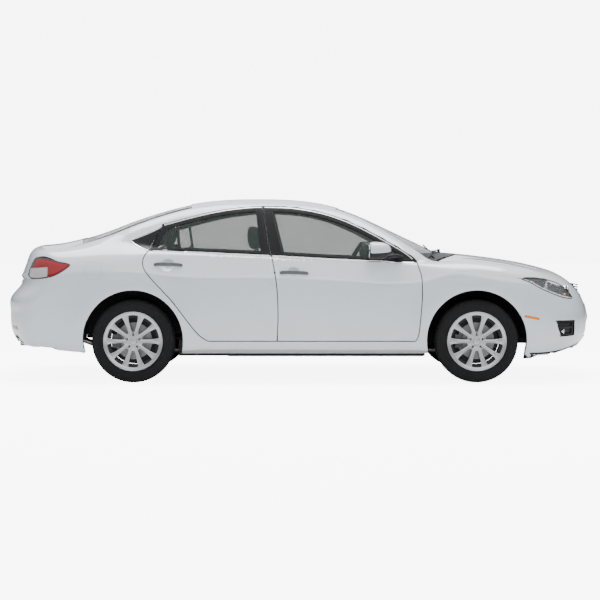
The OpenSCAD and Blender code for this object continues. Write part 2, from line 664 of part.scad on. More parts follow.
// ---- Doors ----
module door_handle(x, z) {
    handle_length = 235;
    grip_radius = 11;
    y = skin_y(x, z) * width_scale + 14;
    translate([station(x), -y, height(z)]) {
        rotate([0, 90, 0]) hull() {
            cylinder(r = grip_radius, h = handle_length - 60, center = true, $fn = 10);
            cylinder(r = grip_radius / 2, h = handle_length, center = true, $fn = 10);
        }
        for (side = [-1, 1]) translate([side * (handle_length / 2 - 35), 20, 0]) rotate([90, 0, 0])
            cylinder(r = 8, h = 20, $fn = 8);
    }
}
hinge_pocket = hinge_plate_width / 2 + 5.5;
module hinge_pockets(hinge, heights) {
    pocket_height = hinge_boss_height + 2 * hinge_plate + 14;
    for (z = heights) translate([station(hinge[0]), -hinge[1] * width_scale, height(z)])
        translate([-hinge_pocket, -hinge_boss_radius - hinge_pocket_gap, -pocket_height / 2])
            cube([hinge_setback + 60, 200, pocket_height]);
}
module hinge_bosses(hinge, heights) {
    for (z = heights) translate([station(hinge[0]), -hinge[1] * width_scale, height(z)])
        difference() {
            union() {
                cylinder(r = hinge_boss_radius, h = hinge_boss_height, center = true);
                translate([-hinge_pocket - 8, -hinge_boss_radius, -hinge_boss_height / 2])
                    cube([hinge_pocket + 8, 2 * hinge_boss_radius, hinge_boss_height]);
            }
            cylinder(r = hinge_pin_radius + pin_clearance, h = 200, center = true);
        }
}
module door(outline, window, slanted, forward, down, hinge, heights, handle) {
    color("white") {
        free_form() difference() {
            union() {
                intersection() {
                    shell(door_thickness);
                    side_prism(outline, -door_gap / 2, 300);
                    slanted_prism(slanted, forward, down);
                }
                door_handle(handle[0], handle[1]);
            }
            plan_prism(roof_outline, drip_rail + 8);
            plan_prism(windshield_outline, drip_rail + 12);
            side_prism(window, 0, 300);
            translate([-length / 2, -sill_inner_y - 6, 0])
                cube([length, sill_inner_y, height(door_bottom + 120)]);
            // the inner front edge is rounded about the hinge
            difference() {
                translate([station(hinge[0]) - 20, -hinge[1] * width_scale + 10, height(310)])
                    cube([200, 300, height(620)]);
                hinge_column(hinge, hinge_sweep - hinge_clearance);
            }
            hinge_pockets(hinge, heights);
        }
        hinge_bosses(hinge, heights);
    }
}
module front_door() {
    door(front_door_outline, front_window, concat([[1200, 300]], door_joint, front_door_top, [[1200, 990]]),
        0.24, 0, front_hinge, front_hinge_heights, [-53, 891]);
}
module rear_door() {
    door(rear_door_outline, rear_window_of_door, concat([[-100, 1437]], rear_door_top, rear_door_tail,
        [[-100, 300]]), 0.4, 0.25, rear_hinge, rear_hinge_heights, [-1075, 957]);
}
module door_glass(window) {
    color("lightsteelblue", 0.5) free_form() intersection() {
        shell(glass_thickness, glass_depth, true);
        side_prism(window, -seat_clearance, 300);
    }
}
module door_mirror() {
    color("white") free_form() difference() {
        union() {
            translate([station(658), -985 * width_scale, height(1070)]) scale([1, 0.95, 0.78])
                sphere(r = 100, $fn = 20);
            hull() {
                translate([station(700), -930 * width_scale, height(1030)]) sphere(r = 26, $fn = 12);
                translate([station(845), -(skin_y(845, 1025) - 5) * width_scale, height(1022)])
                    sphere(r = 24, $fn = 12);
            }
        }
        body_solid(-seat_clearance);
    }
}

// ---- Floor, engine bay and what they carry ----
floor_top = height(sill_bottom);
floor_plate = 25;
firewall_x = front_axle_x - 425;
firewall_plate = 16;
heel_x = rear_axle_x + 790;
rear_floor_top = floor_top + 125;
boot_floor_top = floor_top + 175;
bulkhead_x = rear_axle_x + 180;
shelf_z = height(985);
shelf_plate = 14;
shelf_rear_x = station(lid_hinge[0]) - 22;
rail_y = 400;
apron_y = 447;
apron_plate = 10;
tunnel_half_width = 115;
tunnel_top = floor_top + 120;
rear_house_y = 642;
floor_edge_y = sill_inner_y - joint_gap / 2;

module box(x0, x1, y0, y1, z0, z1) {
    translate([x0, y0, z0]) cube([x1 - x0, y1 - y0, z1 - z0]);
}
module wide_box(x0, x1, y, z0, z1) {
    box(x0, x1, -y, y, z0, z1);
}
// The liner over a wheel
module wheelhouse(axle_x, inner) {
    both_sides() translate([axle_x, -inner, arch_z]) rotate([90, 0, 0])
        linear_extrude(800 - inner) difference() {
        circle(r = arch_radius + liner_gap + liner_plate);
        circle(r = arch_radius + liner_gap);
        translate([-500, -1000]) square([1000, 1000]);
    }
}
module floor_pan() {
    color("dimgray") {
        difference() {
            union() {
                wide_box(heel_x - floor_plate, firewall_x - joint_gap, floor_edge_y, floor_top - floor_plate,
                    floor_top - 0.5);
                wide_box(heel_x - floor_plate, heel_x, floor_edge_y, floor_top - floor_plate, rear_floor_top);
                wide_box(rear_axle_x + arch_radius + 20, heel_x, floor_edge_y, rear_floor_top - floor_plate,
                    rear_floor_top);
                wide_box(bulkhead_x, heel_x, rear_house_y, rear_floor_top - floor_plate, rear_floor_top);
                wide_box(bulkhead_x, bulkhead_x + floor_plate, rear_house_y, rear_floor_top - floor_plate,
                    shelf_z);
                wide_box(-length / 2 + 210, bulkhead_x, rear_house_y, boot_floor_top - floor_plate,
                    boot_floor_top);
                wide_box(shelf_rear_x + 40, bulkhead_x + floor_plate, rear_house_y, shelf_z - shelf_plate,
                    shelf_z);
                wide_box(station(-1800), shelf_rear_x + 41, lid_hinge[1] * width_scale - 1,
                    shelf_z - shelf_plate,
                    shelf_z);
                wide_box(heel_x, firewall_x - joint_gap, tunnel_half_width + 12, floor_top - floor_plate,
                    tunnel_top);
                // inner wheel houses
                for (side = [-1, 1]) box(rear_axle_x - arch_radius - 12, rear_axle_x + arch_radius + 12,
                    side > 0 ? rear_house_y - 12 : -rear_house_y,
                        side > 0 ? rear_house_y : -rear_house_y + 12,
                    boot_floor_top - floor_plate, arch_z + arch_radius + 60);
            }
            box(heel_x - 2 * floor_plate, firewall_x, -tunnel_half_width, tunnel_half_width, 0,
                tunnel_top - 12);
        }
        wheelhouse(rear_axle_x, rear_house_y - 6);
        // brackets of the boot lid, on the shelf
        lid_hinge_place() {
            cylinder(r = 14, h = lid_bracket, center = true);
            translate([-14, shelf_z - height(lid_hinge_z), -lid_bracket / 2])
                cube([28, height(lid_hinge_z) - shelf_z, lid_bracket]);
            cylinder(r = lid_pin_radius, h = lid_bracket + 2 * lid_arm_plate + 12, center = true);
        }
    }
}
bay_ledge_z = height(900);
strut_y = 525;
strut_top_z = height(650);
// The bay is five kinds of plain parts, each a joint gap from the next
module engine_bay() {
    nose = length / 2 - 130;
    bay_start = firewall_x + firewall_plate + joint_gap;
    // firewall, and the ledge under the cowl
    color("dimgray") difference() {
        union() {
            wide_box(firewall_x, firewall_x + firewall_plate, floor_edge_y - 60, floor_top - floor_plate,
                bay_ledge_z);
            wide_box(firewall_x, station(hood_hinge[0]) + 20, hood_hinge[1] * width_scale + 14,
                bay_ledge_z - 16,
                bay_ledge_z);
        }
        box(0, length / 2, -tunnel_half_width, tunnel_half_width, 0, tunnel_top - 12);
        wheel_arch(front_axle_x, apron_y - 20, arch_radius + liner_gap + liner_plate + joint_gap);
    }
    // inner aprons with the struts' seats
    color("dimgray") both_sides() {
        box(bay_start, station(1990), -apron_y - apron_plate, -apron_y, floor_top + 60, height(830));
        box(front_axle_x - 75, front_axle_x + 75, -strut_y - 75, -apron_y, strut_top_z, strut_top_z + 16);
    }
    // rails, with the tow eye's socket in the right one
    color("dimgray") difference() {
        both_sides() rail(bay_start, nose, 0);
        translate([nose - tow_eye_depth, -tow_eye_y, tow_eye_z]) rotate([0, 90, 0])
            cylinder(r = tow_eye_radius, h = 100);
    }
    color("dimgray") wheelhouse(front_axle_x, apron_y + 4);
    // lamp carrier across the nose, round the rails
    color("dimgray") difference() {
        wide_box(station(2120), station(2150), 470 * width_scale, floor_top + 60, height(740));
        wide_box(station(2100), station(2160), 330 * width_scale, floor_top + 120, height(690));
        both_sides() rail(station(2100), station(2160), joint_gap);
    }
    // brackets of the hood
    color("dimgray") hood_hinge_place() {
        cylinder(r = 8, h = hood_bracket, center = true);
        translate([-8, bay_ledge_z - height(hood_hinge_z) - 2, -hood_bracket / 2])
            cube([16, height(hood_hinge_z) - bay_ledge_z + 2, hood_bracket]);
        cylinder(r = hood_pin_radius, h = hood_bracket + 2 * hood_boss + 4, center = true);
    }
}
module rail(x0, x1, grow) {
    box(x0, x1, -apron_y + joint_gap - grow, -rail_y + grow, floor_top + 170 - grow, floor_top + 260 + grow);
}
// Plain block of the engine with its gearbox
engine_bottom = 270;
module engine_block() {
    color("gray") {
        box(front_axle_x - 245, front_axle_x + 205, -290, 150, engine_bottom, height(790));
        box(front_axle_x - 205, front_axle_x + 165, 150, 322, engine_bottom, height(640));
    }
}
// A round bar between two points
module rod(a, b, r) {
    d = b - a;
    translate(a) rotate([0, acos(d[2] / norm(d)), atan2(d[1], d[0])]) cylinder(r = r, h = norm(d));
}
exhaust_pipe_radius = 26;
exhaust_pipe_z = 210;
muffler_radius = boot_floor_top - floor_plate - seat_clearance - height(exhaust_z);
muffler_half = 430;
muffler_x = rear_axle_x - 610;
module exhaust_system() {
    start = [front_axle_x - 235, 0, exhaust_pipe_z];
    bend = [rear_axle_x - 290, 0, exhaust_pipe_z];
    middle = [muffler_x + 20, 0, height(exhaust_z)];
    color("silver") {
        rod([start[0], 0, engine_bottom - seat_clearance], start, exhaust_pipe_radius);
        rod(start, bend, exhaust_pipe_radius);
        rod(bend, middle, exhaust_pipe_radius);
        translate(bend) sphere(r = exhaust_pipe_radius);
        translate(start) sphere(r = exhaust_pipe_radius);
        translate([muffler_x, 0, height(exhaust_z)]) rotate([90, 0, 0])
            cylinder(r = muffler_radius, h = 2 * muffler_half, center = true);
        both_sides() {
            corner = [muffler_x, -exhaust_y * width_scale, height(exhaust_z)];
            rod([muffler_x, -muffler_half + 10, height(exhaust_z)], corner, exhaust_pipe_radius);
            translate(corner) sphere(r = exhaust_pipe_radius);
            rod(corner, corner - [160, 0, 0], exhaust_pipe_radius);
            // tailpipe trim
            translate(corner - [150, 0, 0]) rotate([0, -90, 0]) difference() {
                cylinder(r = exhaust_tip_radius, h = length / 2 - 145 + corner[0] - 150);
                translate([0, 0, 60]) cylinder(r = exhaust_tip_radius - 3, h = 1000);
            }
        }
    }
}
tank_top = rear_floor_top - floor_plate - seat_clearance;
module fuel_tank() {
    color("dimgray") translate([heel_x - 450, 0, 0]) rotate([90, 0, 90]) linear_extrude(410)
        polygon([[-460, 205], [-440, 188], [-125, 188], [-100, 270], [100, 270], [125, 188], [440, 188],
            [460, 205], [460, tank_top], [-460, tank_top]]);
}

// ---- Suspension ----
kingpin_y = track / 2 - 85;
kingpin_radius = 9;
lower_arm = [tyre_radius - 114, tyre_radius - 90];
upper_arm = [tyre_radius + 120, tyre_radius + 138];
subframe_half = 370;
spring_radius = 48;
// An arm in plan, from its seat on the body to the kingpin
module arm_plate(z, root_y, root_half, tip_half, axle_x, tip_radius) {
    translate([axle_x, 0, z[0]]) linear_extrude(z[1] - z[0]) {
        polygon([[-root_half, -root_y], [root_half, -root_y], [tip_half, -kingpin_y],
            [-tip_half, -kingpin_y]]);
        translate([0, -kingpin_y]) circle(r = tip_radius);
    }
}
module front_suspension() {
    x = front_axle_x;
    color("dimgray") {
        difference() {
            wide_box(x - 130, x + 130, subframe_half, 215, engine_bottom);
            box(x - 60, x + 60, -200, 200, 0, 300);
        }
        both_sides() {
            difference() {
                union() {
                    arm_plate(lower_arm, subframe_half - 5, 120, 22, x, 26);
                    // posts to the rails
                    for (end = [-1, 1]) translate([x + end * 100 - 18, -apron_y + 0.5, lower_arm[0]])
                        cube([36, apron_y + 40 - subframe_half,
                            floor_top + 170 - seat_clearance - lower_arm[0]]);
                    translate([x, -strut_y, lower_arm[1] - 5])
                        cylinder(r = 18, h = strut_top_z - lower_arm[1] + 5);
                    translate([x, -strut_y, lower_arm[1] + 60])
                        cylinder(r = spring_radius, h = strut_top_z - lower_arm[1] - 60);
                }
                translate([x, -kingpin_y, 0]) cylinder(r = kingpin_radius + pin_clearance, h = 600);
            }
            difference() {
                arm_plate(upper_arm, apron_y + apron_plate, 112, 18, x, 24);
                translate([x, -kingpin_y, 0]) cylinder(r = kingpin_radius + pin_clearance, h = 600);
                translate([x, -strut_y, 0]) cylinder(r = spring_radius + 8, h = 600);
            }
        }
    }
}
caliper_reach = 172;
// The caliper bridges the disc, in the wheel's frame with its outboard side up
module caliper() {
    difference() {
        translate([-caliper_reach, -54, -30]) cube([caliper_reach - 105, 108, 70]);
        translate([0, 0, disc_inner - 5]) cylinder(r = disc_radius + 6, h = disc_plate + 10);
    }
    translate([-caliper_reach + 8, -25, -70]) cube([60, 50, 42]);
    translate([-caliper_reach + 8, -25, -70]) cube([caliper_reach, 50, 25]);
}
// Wheels are drawn with their axis up and their outboard side on top
disc_inner = -3;
disc_plate = 22;
hub_face = 42;
spindle_end = 20;
module wheel_place(axle_x) {
    translate([axle_x, -track / 2, tyre_radius]) rotate([90, 0, 0]) children();
}
module front_knuckle() {
    color("dimgray") {
        translate([front_axle_x, -kingpin_y, lower_arm[1] + 0.5])
            cylinder(r = 20, h = upper_arm[0] - lower_arm[1] - 1);
        translate([front_axle_x, -kingpin_y, lower_arm[0] - 4])
            cylinder(r = kingpin_radius, h = upper_arm[1] - lower_arm[0] + 8);
        wheel_place(front_axle_x) {
            translate([0, 0, kingpin_y - track / 2])
                cylinder(r = spindle_radius, h = track / 2 - kingpin_y + spindle_end);
            caliper();
        }
    }
}
module rear_suspension() {
    x = rear_axle_x;
    color("dimgray") {
        wide_box(x - 110, x + 110, 430, 262, 300);
        both_sides() {
            for (end = [-1, 1]) translate([x + end * 85 - 20, -430, 290])
                cube([40, 40, boot_floor_top - floor_plate - 290]);
            box(x - 28, x + 28, -kingpin_y - 10, -420, 262, 286);
            box(x - 22, x + 22, -kingpin_y - 10, -400, 352, 372);
            box(x - 60, x + 60, -440, -400, 300, 372);
            box(x - 45, x + 45, -kingpin_y - 20, -kingpin_y + 5, 255, 430);
            translate([x, -560, 280]) cylinder(r = 20, h = 60);
            wheel_place(x) {
                translate([0, 0, kingpin_y - track / 2])
                    cylinder(r = spindle_radius, h = track / 2 - kingpin_y + spindle_end);
                caliper();
            }
        }
    }
}

// ---- Wheels ----
rim_half = 98;
bead_seat = rim_radius - 16;
spokes = 10;
nuts = 5;
module rim_wheel() {
    color("silver") difference() {
        union() {
            rotate_extrude($fn = 96) polygon([[rim_radius, rim_half], [rim_radius, 91], [bead_seat, 90],
                [bead_seat, 60], [bead_seat - 28, 44], [bead_seat - 28, -10], [bead_seat, -58],
                    [bead_seat, -90],
                [rim_radius, -91], [rim_radius, -rim_half], [rim_radius - 8, -rim_half], [bead_seat - 9, -86],
                [bead_seat - 10, -56], [bead_seat - 37, -12], [bead_seat - 37, 48], [bead_seat - 14, 64],
                [bead_seat - 12, 88], [rim_radius - 8, rim_half]]);
            for (i = [0 : spokes - 1]) rotate(i * 360 / spokes) translate([0, 0, 58]) linear_extrude(26)
                polygon([[50, -15], [110, -14], [bead_seat - 40, -18], [bead_seat - 6, -24],
                    [bead_seat - 6, 24],
                    [bead_seat - 40, 18], [110, 14], [50, 15]]);
            translate([0, 0, hub_face]) cylinder(r = 76, h = 38);
            translate([0, 0, hub_face + 38]) cylinder(r = 29, h = 4);
            // brake disc and its hat
            rotate_extrude($fn = 96)
                polygon([[disc_radius, disc_inner], [disc_radius, disc_inner + disc_plate],
                [92, disc_inner + disc_plate], [92, hub_face], [30, hub_face], [30, hub_face - 8],
                    [84, hub_face - 8],
                [84, disc_inner]]);
            translate([0, 0, -14]) cylinder(r = 38, h = hub_face + 14);
        }
        translate([0, 0, -15]) cylinder(r = spindle_radius + pin_clearance, h = spindle_end + 19);
        for (i = [0 : nuts - 1]) rotate(90 + i * 360 / nuts) translate([nut_circle_radius, 0, hub_face + 22])
            cylinder(r = 13, h = 40, $fn = 24);
    }
}
module tyre() {
    w = tyre_width / 2;
    tread = tyre_radius;
    bead = bead_seat + seat_clearance;
    half = [[bead, 62], [bead, 89.5], [bead + 18, 91], [bead + 28, w - 8], [bead + 46, w - 2], [bead + 66, w],
        [tread - 28, w - 2], [tread - 15, w - 8], [tread - 6, w - 18], [tread - 1, w - 32], [tread, w - 48]];
    inside = [[tread - 11, w - 48], [tread - 14, w - 34], [tread - 26, w - 18], [bead + 60, w - 12],
        [bead + 30, w - 20], [bead + 12, 76]];
    color([0.12, 0.12, 0.12]) rotate_extrude($fn = 96) polygon(concat(half,
        [for (p = reversed(half)) [p[0], -p[1]]], [for (p = reversed(inside)) [p[0], -p[1]]], inside));
}

// ---- Cabin ----
// A solid across the car from its profile [x, z]
module profile_block(points, width, y = 0) {
    translate([0, y + width / 2, 0]) rotate([90, 0, 0]) linear_extrude(width) polygon(points);
}
headrest_width = 270;
module front_seat() {
    post_y = 60;
    translate([front_axle_x - 1435, -seat_offset, floor_top - 235]) {
        for (side = [-1, 1]) box(-170, 330, side * 200 - 20, side * 200 + 20, 235, 300);
        profile_block([[-180, 295], [300, 310], [355, 345], [368, 400], [330, 435], [250, 440], [-110, 405],
            [-180, 380]], seat_width);
        profile_block([[-110, 400], [-150, 470], [-312, 1010], [-340, 1045], [-385, 1050], [-412, 1020],
            [-265, 420], [-240, 340], [-180, 330]], seat_width - 20);
        for (side = [-1, 1]) rod([-362, side * post_y, 1030], [-385, side * post_y, 1120], 6);
        profile_block([[-352, 1085], [-338, 1150], [-345, 1230], [-375, 1275], [-415, 1278], [-440, 1245],
            [-432, 1130], [-412, 1080]], headrest_width);
    }
}
module front_seats() {
    color([0.25, 0.25, 0.26]) both_sides() front_seat();
}
rear_bench_width = 1235;
module rear_seat() {
    back = bulkhead_x + floor_plate + seat_clearance;
    base = rear_floor_top + seat_clearance;
    color([0.25, 0.25, 0.26]) {
        profile_block([[back + 150, base], [back + 600, base], [back + 625, base + 40],
            [back + 622, base + 95],
            [back + 580, base + 118], [back + 150, base + 88]], rear_bench_width);
        profile_block([[back, base], [back + 149.5, base], [back + 149.5, base + 92],
            [back + 215, base + 100],
            [back + 75, base + 590], [back + 50, base + 618], [back, base + 618]], rear_bench_width);
        for (side = [-1, 1])
            profile_block([[back + 5, base + 610], [back + 70, base + 610], [back + 55, base + 692],
            [back + 8, base + 690]], 240, side * 320);
    }
}
wheel_tilt = 30;
wheel_centre = [455, seat_offset, 975];
column_radius = 34;
column_pin_radius = 10;
module steering_axis() {
    translate(wheel_centre + [front_axle_x - 1435, 0, floor_top - 235]) rotate([0, 90 + wheel_tilt, 0])
        children();
}
module dashboard() {
    color([0.2, 0.2, 0.21]) {
        translate([front_axle_x - 1435, 0, floor_top - 235]) profile_block([[1009.7, 560], [1009.7, 880],
            [985, 985], [900, 1008], [700, 1020], [610, 1003], [568, 950], [590, 810], [680, 640],
                [760, 560]], 1340);
        steering_axis() {
            translate([0, 0, 62]) cylinder(r = column_radius, h = 220);
            translate([0, 0, 8]) cylinder(r = column_pin_radius, h = 60);
        }
    }
}
module steering_wheel() {
    grip = 15;
    color([0.15, 0.15, 0.16]) steering_axis() difference() {
        union() {
            rotate_extrude() translate([steering_wheel_radius, 0]) circle(r = grip, $fn = 24);
            translate([0, 0, -12]) cylinder(r = 62, h = 34);
            translate([0, 0, 0]) cylinder(r = 28, h = 56);
            for (angle = [0, 90, 270]) rotate(angle) translate([0, -22, -5])
                cube([steering_wheel_radius - 5, 44, 12]);
        }
        translate([0, 0, 5]) cylinder(r = column_pin_radius + pin_clearance, h = 60);
    }
}
cup_holders = [230, 325];
cup_radius = 38;
cup_depth = 65;
console_top = 562;
module center_console() {
    color([0.2, 0.2, 0.21]) translate([front_axle_x - 1435, 0, floor_top - 235]) difference() {
        profile_block([[675, 355.3], [675, 640], [590, 640], [440, console_top], [-250, console_top],
            [-300, 520],
            [-300, 355.3]], 2 * tunnel_half_width);
        for (x = cup_holders) translate([x, 0, console_top - cup_depth]) cylinder(r = cup_radius, h = 200);
    }
}
module wipers() {
    $fn = 8;
    function on_glass(x, y, lift) = [station(x), y * width_scale, height(skin_z(x, y)) + lift];
    color("black") free_form() difference() {
        for (start = [-140, 520]) {
            elbow = on_glass(1190, start, 20);
            blade = [on_glass(1130, start - 100, 12), on_glass(1105, start - 320, 12), on_glass(1062,
                start - 540, 12)];
            rod(on_glass(1190, start, -10), elbow, 11);
            rod(elbow, blade[1], 7);
            rod(blade[0], blade[1], 7);
            rod(blade[1], blade[2], 7);
        }
        body_solid(-seat_clearance);
    }
}

floor_pan();
engine_bay();
engine_block();
exhaust_system();
fuel_tank();
front_suspension();
rear_suspension();
front_seats();
rear_seat();
dashboard();
center_console();
wipers();
steering_wheel();
front_knuckle();  // right_front_knuckle
left() front_knuckle();  // left_front_knuckle
wheel_place(front_axle_x) rim_wheel();  // right_front_wheel
left() wheel_place(front_axle_x) rim_wheel();  // left_front_wheel
wheel_place(rear_axle_x) rim_wheel();  // right_rear_wheel
left() wheel_place(rear_axle_x) rim_wheel();  // left_rear_wheel
wheel_place(front_axle_x) tyre();  // right_front_tyre
left() wheel_place(front_axle_x) tyre();  // left_front_tyre
wheel_place(rear_axle_x) tyre();  // right_rear_tyre
left() wheel_place(rear_axle_x) tyre();  // left_rear_tyre
body_side();  // right_body_side
left() body_side();  // left_body_side
roof_panel();
cowl_panel();
fender();  // right_front_fender
left() fender();  // left_front_fender
front_bumper();
grille();
rear_bumper();
windshield();
rear_window();
headlamps();
tail_lamps();
hood();
trunk_lid();
front_door();  // right_front_door
left() front_door();  // left_front_door
rear_door();  // right_rear_door
left() rear_door();  // left_rear_door
door_glass(front_window);  // right_front_door_glass
left() door_glass(front_window);  // left_front_door_glass
door_glass(rear_window_of_door);  // right_rear_door_glass
left() door_glass(rear_window_of_door);  // left_rear_door_glass
door_mirror();  // right_mirror
left() door_mirror();  // left_mirror
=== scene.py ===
"""Finished look of a four-door sedan car, built over its CAD nodes and moving with their bodies."""
import sys
import logging
import math
from dataclasses import dataclass, field
from enum import Enum
from typing import Callable, Iterable, Sequence

import bmesh
import bpy
import numpy as np
from mathutils import Matrix, Vector
from mathutils.geometry import delaunay_2d_cdt


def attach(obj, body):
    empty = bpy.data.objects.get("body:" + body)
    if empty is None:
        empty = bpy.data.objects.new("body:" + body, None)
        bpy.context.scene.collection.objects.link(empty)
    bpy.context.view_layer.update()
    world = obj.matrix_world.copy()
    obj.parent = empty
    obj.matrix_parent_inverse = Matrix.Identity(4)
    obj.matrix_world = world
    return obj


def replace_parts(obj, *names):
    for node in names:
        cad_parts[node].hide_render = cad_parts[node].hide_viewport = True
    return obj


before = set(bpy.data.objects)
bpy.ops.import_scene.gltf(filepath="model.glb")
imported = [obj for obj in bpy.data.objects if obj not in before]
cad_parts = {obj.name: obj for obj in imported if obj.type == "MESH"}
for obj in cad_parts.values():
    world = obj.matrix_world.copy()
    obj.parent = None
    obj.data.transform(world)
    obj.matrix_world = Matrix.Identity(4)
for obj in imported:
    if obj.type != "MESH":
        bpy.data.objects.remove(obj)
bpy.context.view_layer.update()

logging.basicConfig(level=logging.INFO, format="%(message)s", stream=sys.stdout)
log = logging.getLogger("sedan")

MM = 0.001
Point2 = tuple[float, float]


class Side(Enum):
    """One side of the car, and the sign of its y."""

    RIGHT = -1
    LEFT = 1

    @property
    def word(self) -> str:
        """The side's name, as CAD nodes start with it."""
        return self.name.lower()


class Grain(Enum):
    """Procedural relief of a surface."""

    SMOOTH = "smooth"
    CAST = "cast"
    WEAVE = "weave"
    LEATHER = "leather"
    RIBBED = "ribbed"


@dataclass(frozen=True)
class Finish:
    """Look of one material.

    Args:
        name: Name of the material.
        slot: Material slot of the record that it belongs to; not used.
        colour: Base colour, linear RGB.
        roughness: Roughness, or the middle of its range.
        metallic: 1 for a metal.
        alpha: Below 1 for tinted glass.
        coat: Weight of the clear coat.
        shine: Strength of the reflection at normal incidence.
        grain: Kind of relief.
        scale: Number of grains along a metre.
        relief: Height of the relief in metres.
    """

    name: str
    slot: str
    colour: tuple[float, float, float]
    roughness: float = 0.5
    metallic: float = 0.0
    alpha: float = 1.0
    coat: float = 0.0
    shine: float = 0.5
    grain: Grain = Grain.SMOOTH
    scale: float = 400.0
    relief: float = 0.0002


PAINT = Finish("white_paint", "body_paint", (0.62, 0.665, 0.71), 0.22, coat=1.0, scale=2500.0,
               relief=0.000004)
UNDER = Finish("underbody_coat", "underbody", (0.016, 0.017, 0.018), 0.85, shine=0.15,
               grain=Grain.CAST, scale=260.0)
# Edges and insides of the painted panels, a grey darker than the outer paint: painted shade that darkens the
# panel gaps.
INNER = Finish("painted_inner_steel", "body_paint", (0.50, 0.51, 0.51), 0.5, grain=Grain.CAST, scale=300.0)
BLACK = Finish("black_plastic", "black_plastic", (0.012, 0.012, 0.013), 0.5, shine=0.25,
               grain=Grain.CAST, scale=900.0)
GLOSS = Finish("gloss_black_trim", "black_plastic", (0.009, 0.009, 0.010), 0.25, shine=0.25, relief=0.00001)
WHITE_PLATE = Finish("blank_plate", "black_plastic", (0.74, 0.74, 0.72), 0.4, relief=0.00001)
DARK_SKIN = Finish("dark_frame_skin", "black_plastic", (0.012, 0.012, 0.013), 0.4, shine=0.12,
                   relief=0.00001)
SEAL = Finish("rubber_seal", "black_plastic", (0.012, 0.012, 0.012), 0.8, shine=0.2, grain=Grain.CAST,
              scale=700.0)
# Grey of a shut line: painted shade where the gap between panels would be.
SHUT_SHADE = Finish("shut_line", "body_paint", (0.30, 0.31, 0.32), 0.5, relief=0.00001)
BRIGHT = Finish("bright_trim", "black_plastic", (0.72, 0.73, 0.74), 0.16, 1.0, relief=0.00001)
HANDLE = Finish("satin_grey_handle", "black_plastic", (0.095, 0.10, 0.105), 0.36, 0.2, relief=0.00001)
GLASS = Finish("window_glass", "window_glass", (0.032, 0.043, 0.037), 0.03, alpha=0.53, shine=0.35,
               relief=0.000004)
DARK_GLASS = Finish("screen_glass", "window_glass", (0.030, 0.038, 0.036), 0.03, alpha=0.62,
                    relief=0.000004)
FRIT = Finish("glass_edge_band", "window_glass", (0.010, 0.011, 0.012), 0.15, relief=0.000004)
CLEAR = Finish("clear_lens", "lamp_clear", (0.55, 0.57, 0.58), 0.03, alpha=0.08, relief=0.000004)
CHROME = Finish("lamp_reflector", "lamp_clear", (0.80, 0.81, 0.82), 0.14, 1.0, relief=0.00001)
BOWL = Finish("lamp_housing", "lamp_clear", (0.06, 0.062, 0.068), 0.3, 0.5, relief=0.00001)
LAMP_RIM = Finish("lamp_surround", "lamp_clear", (0.012, 0.012, 0.013), 0.35, shine=0.3, relief=0.00001)
AMBER = Finish("amber_lens", "lamp_clear", (0.72, 0.17, 0.008), 0.2, coat=0.3, grain=Grain.RIBBED,
               scale=260.0)
RED_LENS = Finish("red_lens", "lamp_red", (0.25, 0.004, 0.006), 0.18, coat=0.4, grain=Grain.RIBBED,
                  scale=200.0)
WHITE_LENS = Finish("white_lens", "lamp_red", (0.46, 0.42, 0.42), 0.15, coat=0.6, grain=Grain.RIBBED,
                    scale=240.0)
TAIL_RIM = Finish("tail_lamp_surround", "lamp_red", (0.045, 0.046, 0.05), 0.28, coat=0.5, relief=0.00001)
ALLOY = Finish("wheel_alloy", "wheel_alloy", (0.46, 0.465, 0.475), 0.32, 0.8, relief=0.00001)
WHEEL_DARK = Finish("wheel_shadow", "wheel_alloy", (0.035, 0.035, 0.037), 0.6, 0.3, shine=0.3,
                    relief=0.00002)
DISC = Finish("brake_disc", "wheel_alloy", (0.20, 0.20, 0.205), 0.4, 1.0, grain=Grain.RIBBED, scale=500.0,
              relief=0.00005)
RUBBER = Finish("tyre_rubber", "tyre_rubber", (0.011, 0.011, 0.0115), 0.85, shine=0.16,
                grain=Grain.CAST, scale=500.0)
ENGINE = Finish("cast_alloy", "engine_alloy", (0.33, 0.33, 0.34), 0.5, 0.8, grain=Grain.CAST, scale=160.0,
                relief=0.0008)
STEEL = Finish("exhaust_steel", "exhaust_steel", (0.42, 0.40, 0.38), 0.38, 1.0, grain=Grain.CAST,
               scale=200.0)
TANK = Finish("tank_plastic", "tank_plastic", (0.03, 0.03, 0.032), 0.6, grain=Grain.CAST, scale=220.0)
IRON = Finish("suspension_iron", "suspension_iron", (0.10, 0.10, 0.105), 0.6, 0.5, grain=Grain.CAST,
              scale=240.0,
              relief=0.0006)
CLOTH = Finish("seat_cloth", "seat_cloth", (0.115, 0.12, 0.13), 0.92, grain=Grain.WEAVE, scale=900.0)
CLOTH_DARK = Finish("seat_bolster_cloth", "seat_cloth", (0.055, 0.057, 0.062), 0.95, grain=Grain.WEAVE,
                    scale=700.0)
THREAD = Finish("seam_thread", "seat_cloth", (0.26, 0.27, 0.28), 0.8, scale=900.0)
TRIM = Finish("cabin_trim", "trim_plastic", (0.06, 0.061, 0.065), 0.72, grain=Grain.LEATHER, scale=420.0)
TRIM_PALE = Finish("cabin_trim_pale", "trim_plastic", (0.30, 0.30, 0.29), 0.8, grain=Grain.LEATHER,
                   scale=380.0)
TRIM_SATIN = Finish("cabin_trim_satin", "trim_plastic", (0.34, 0.35, 0.36), 0.32, 0.8, relief=0.00001)


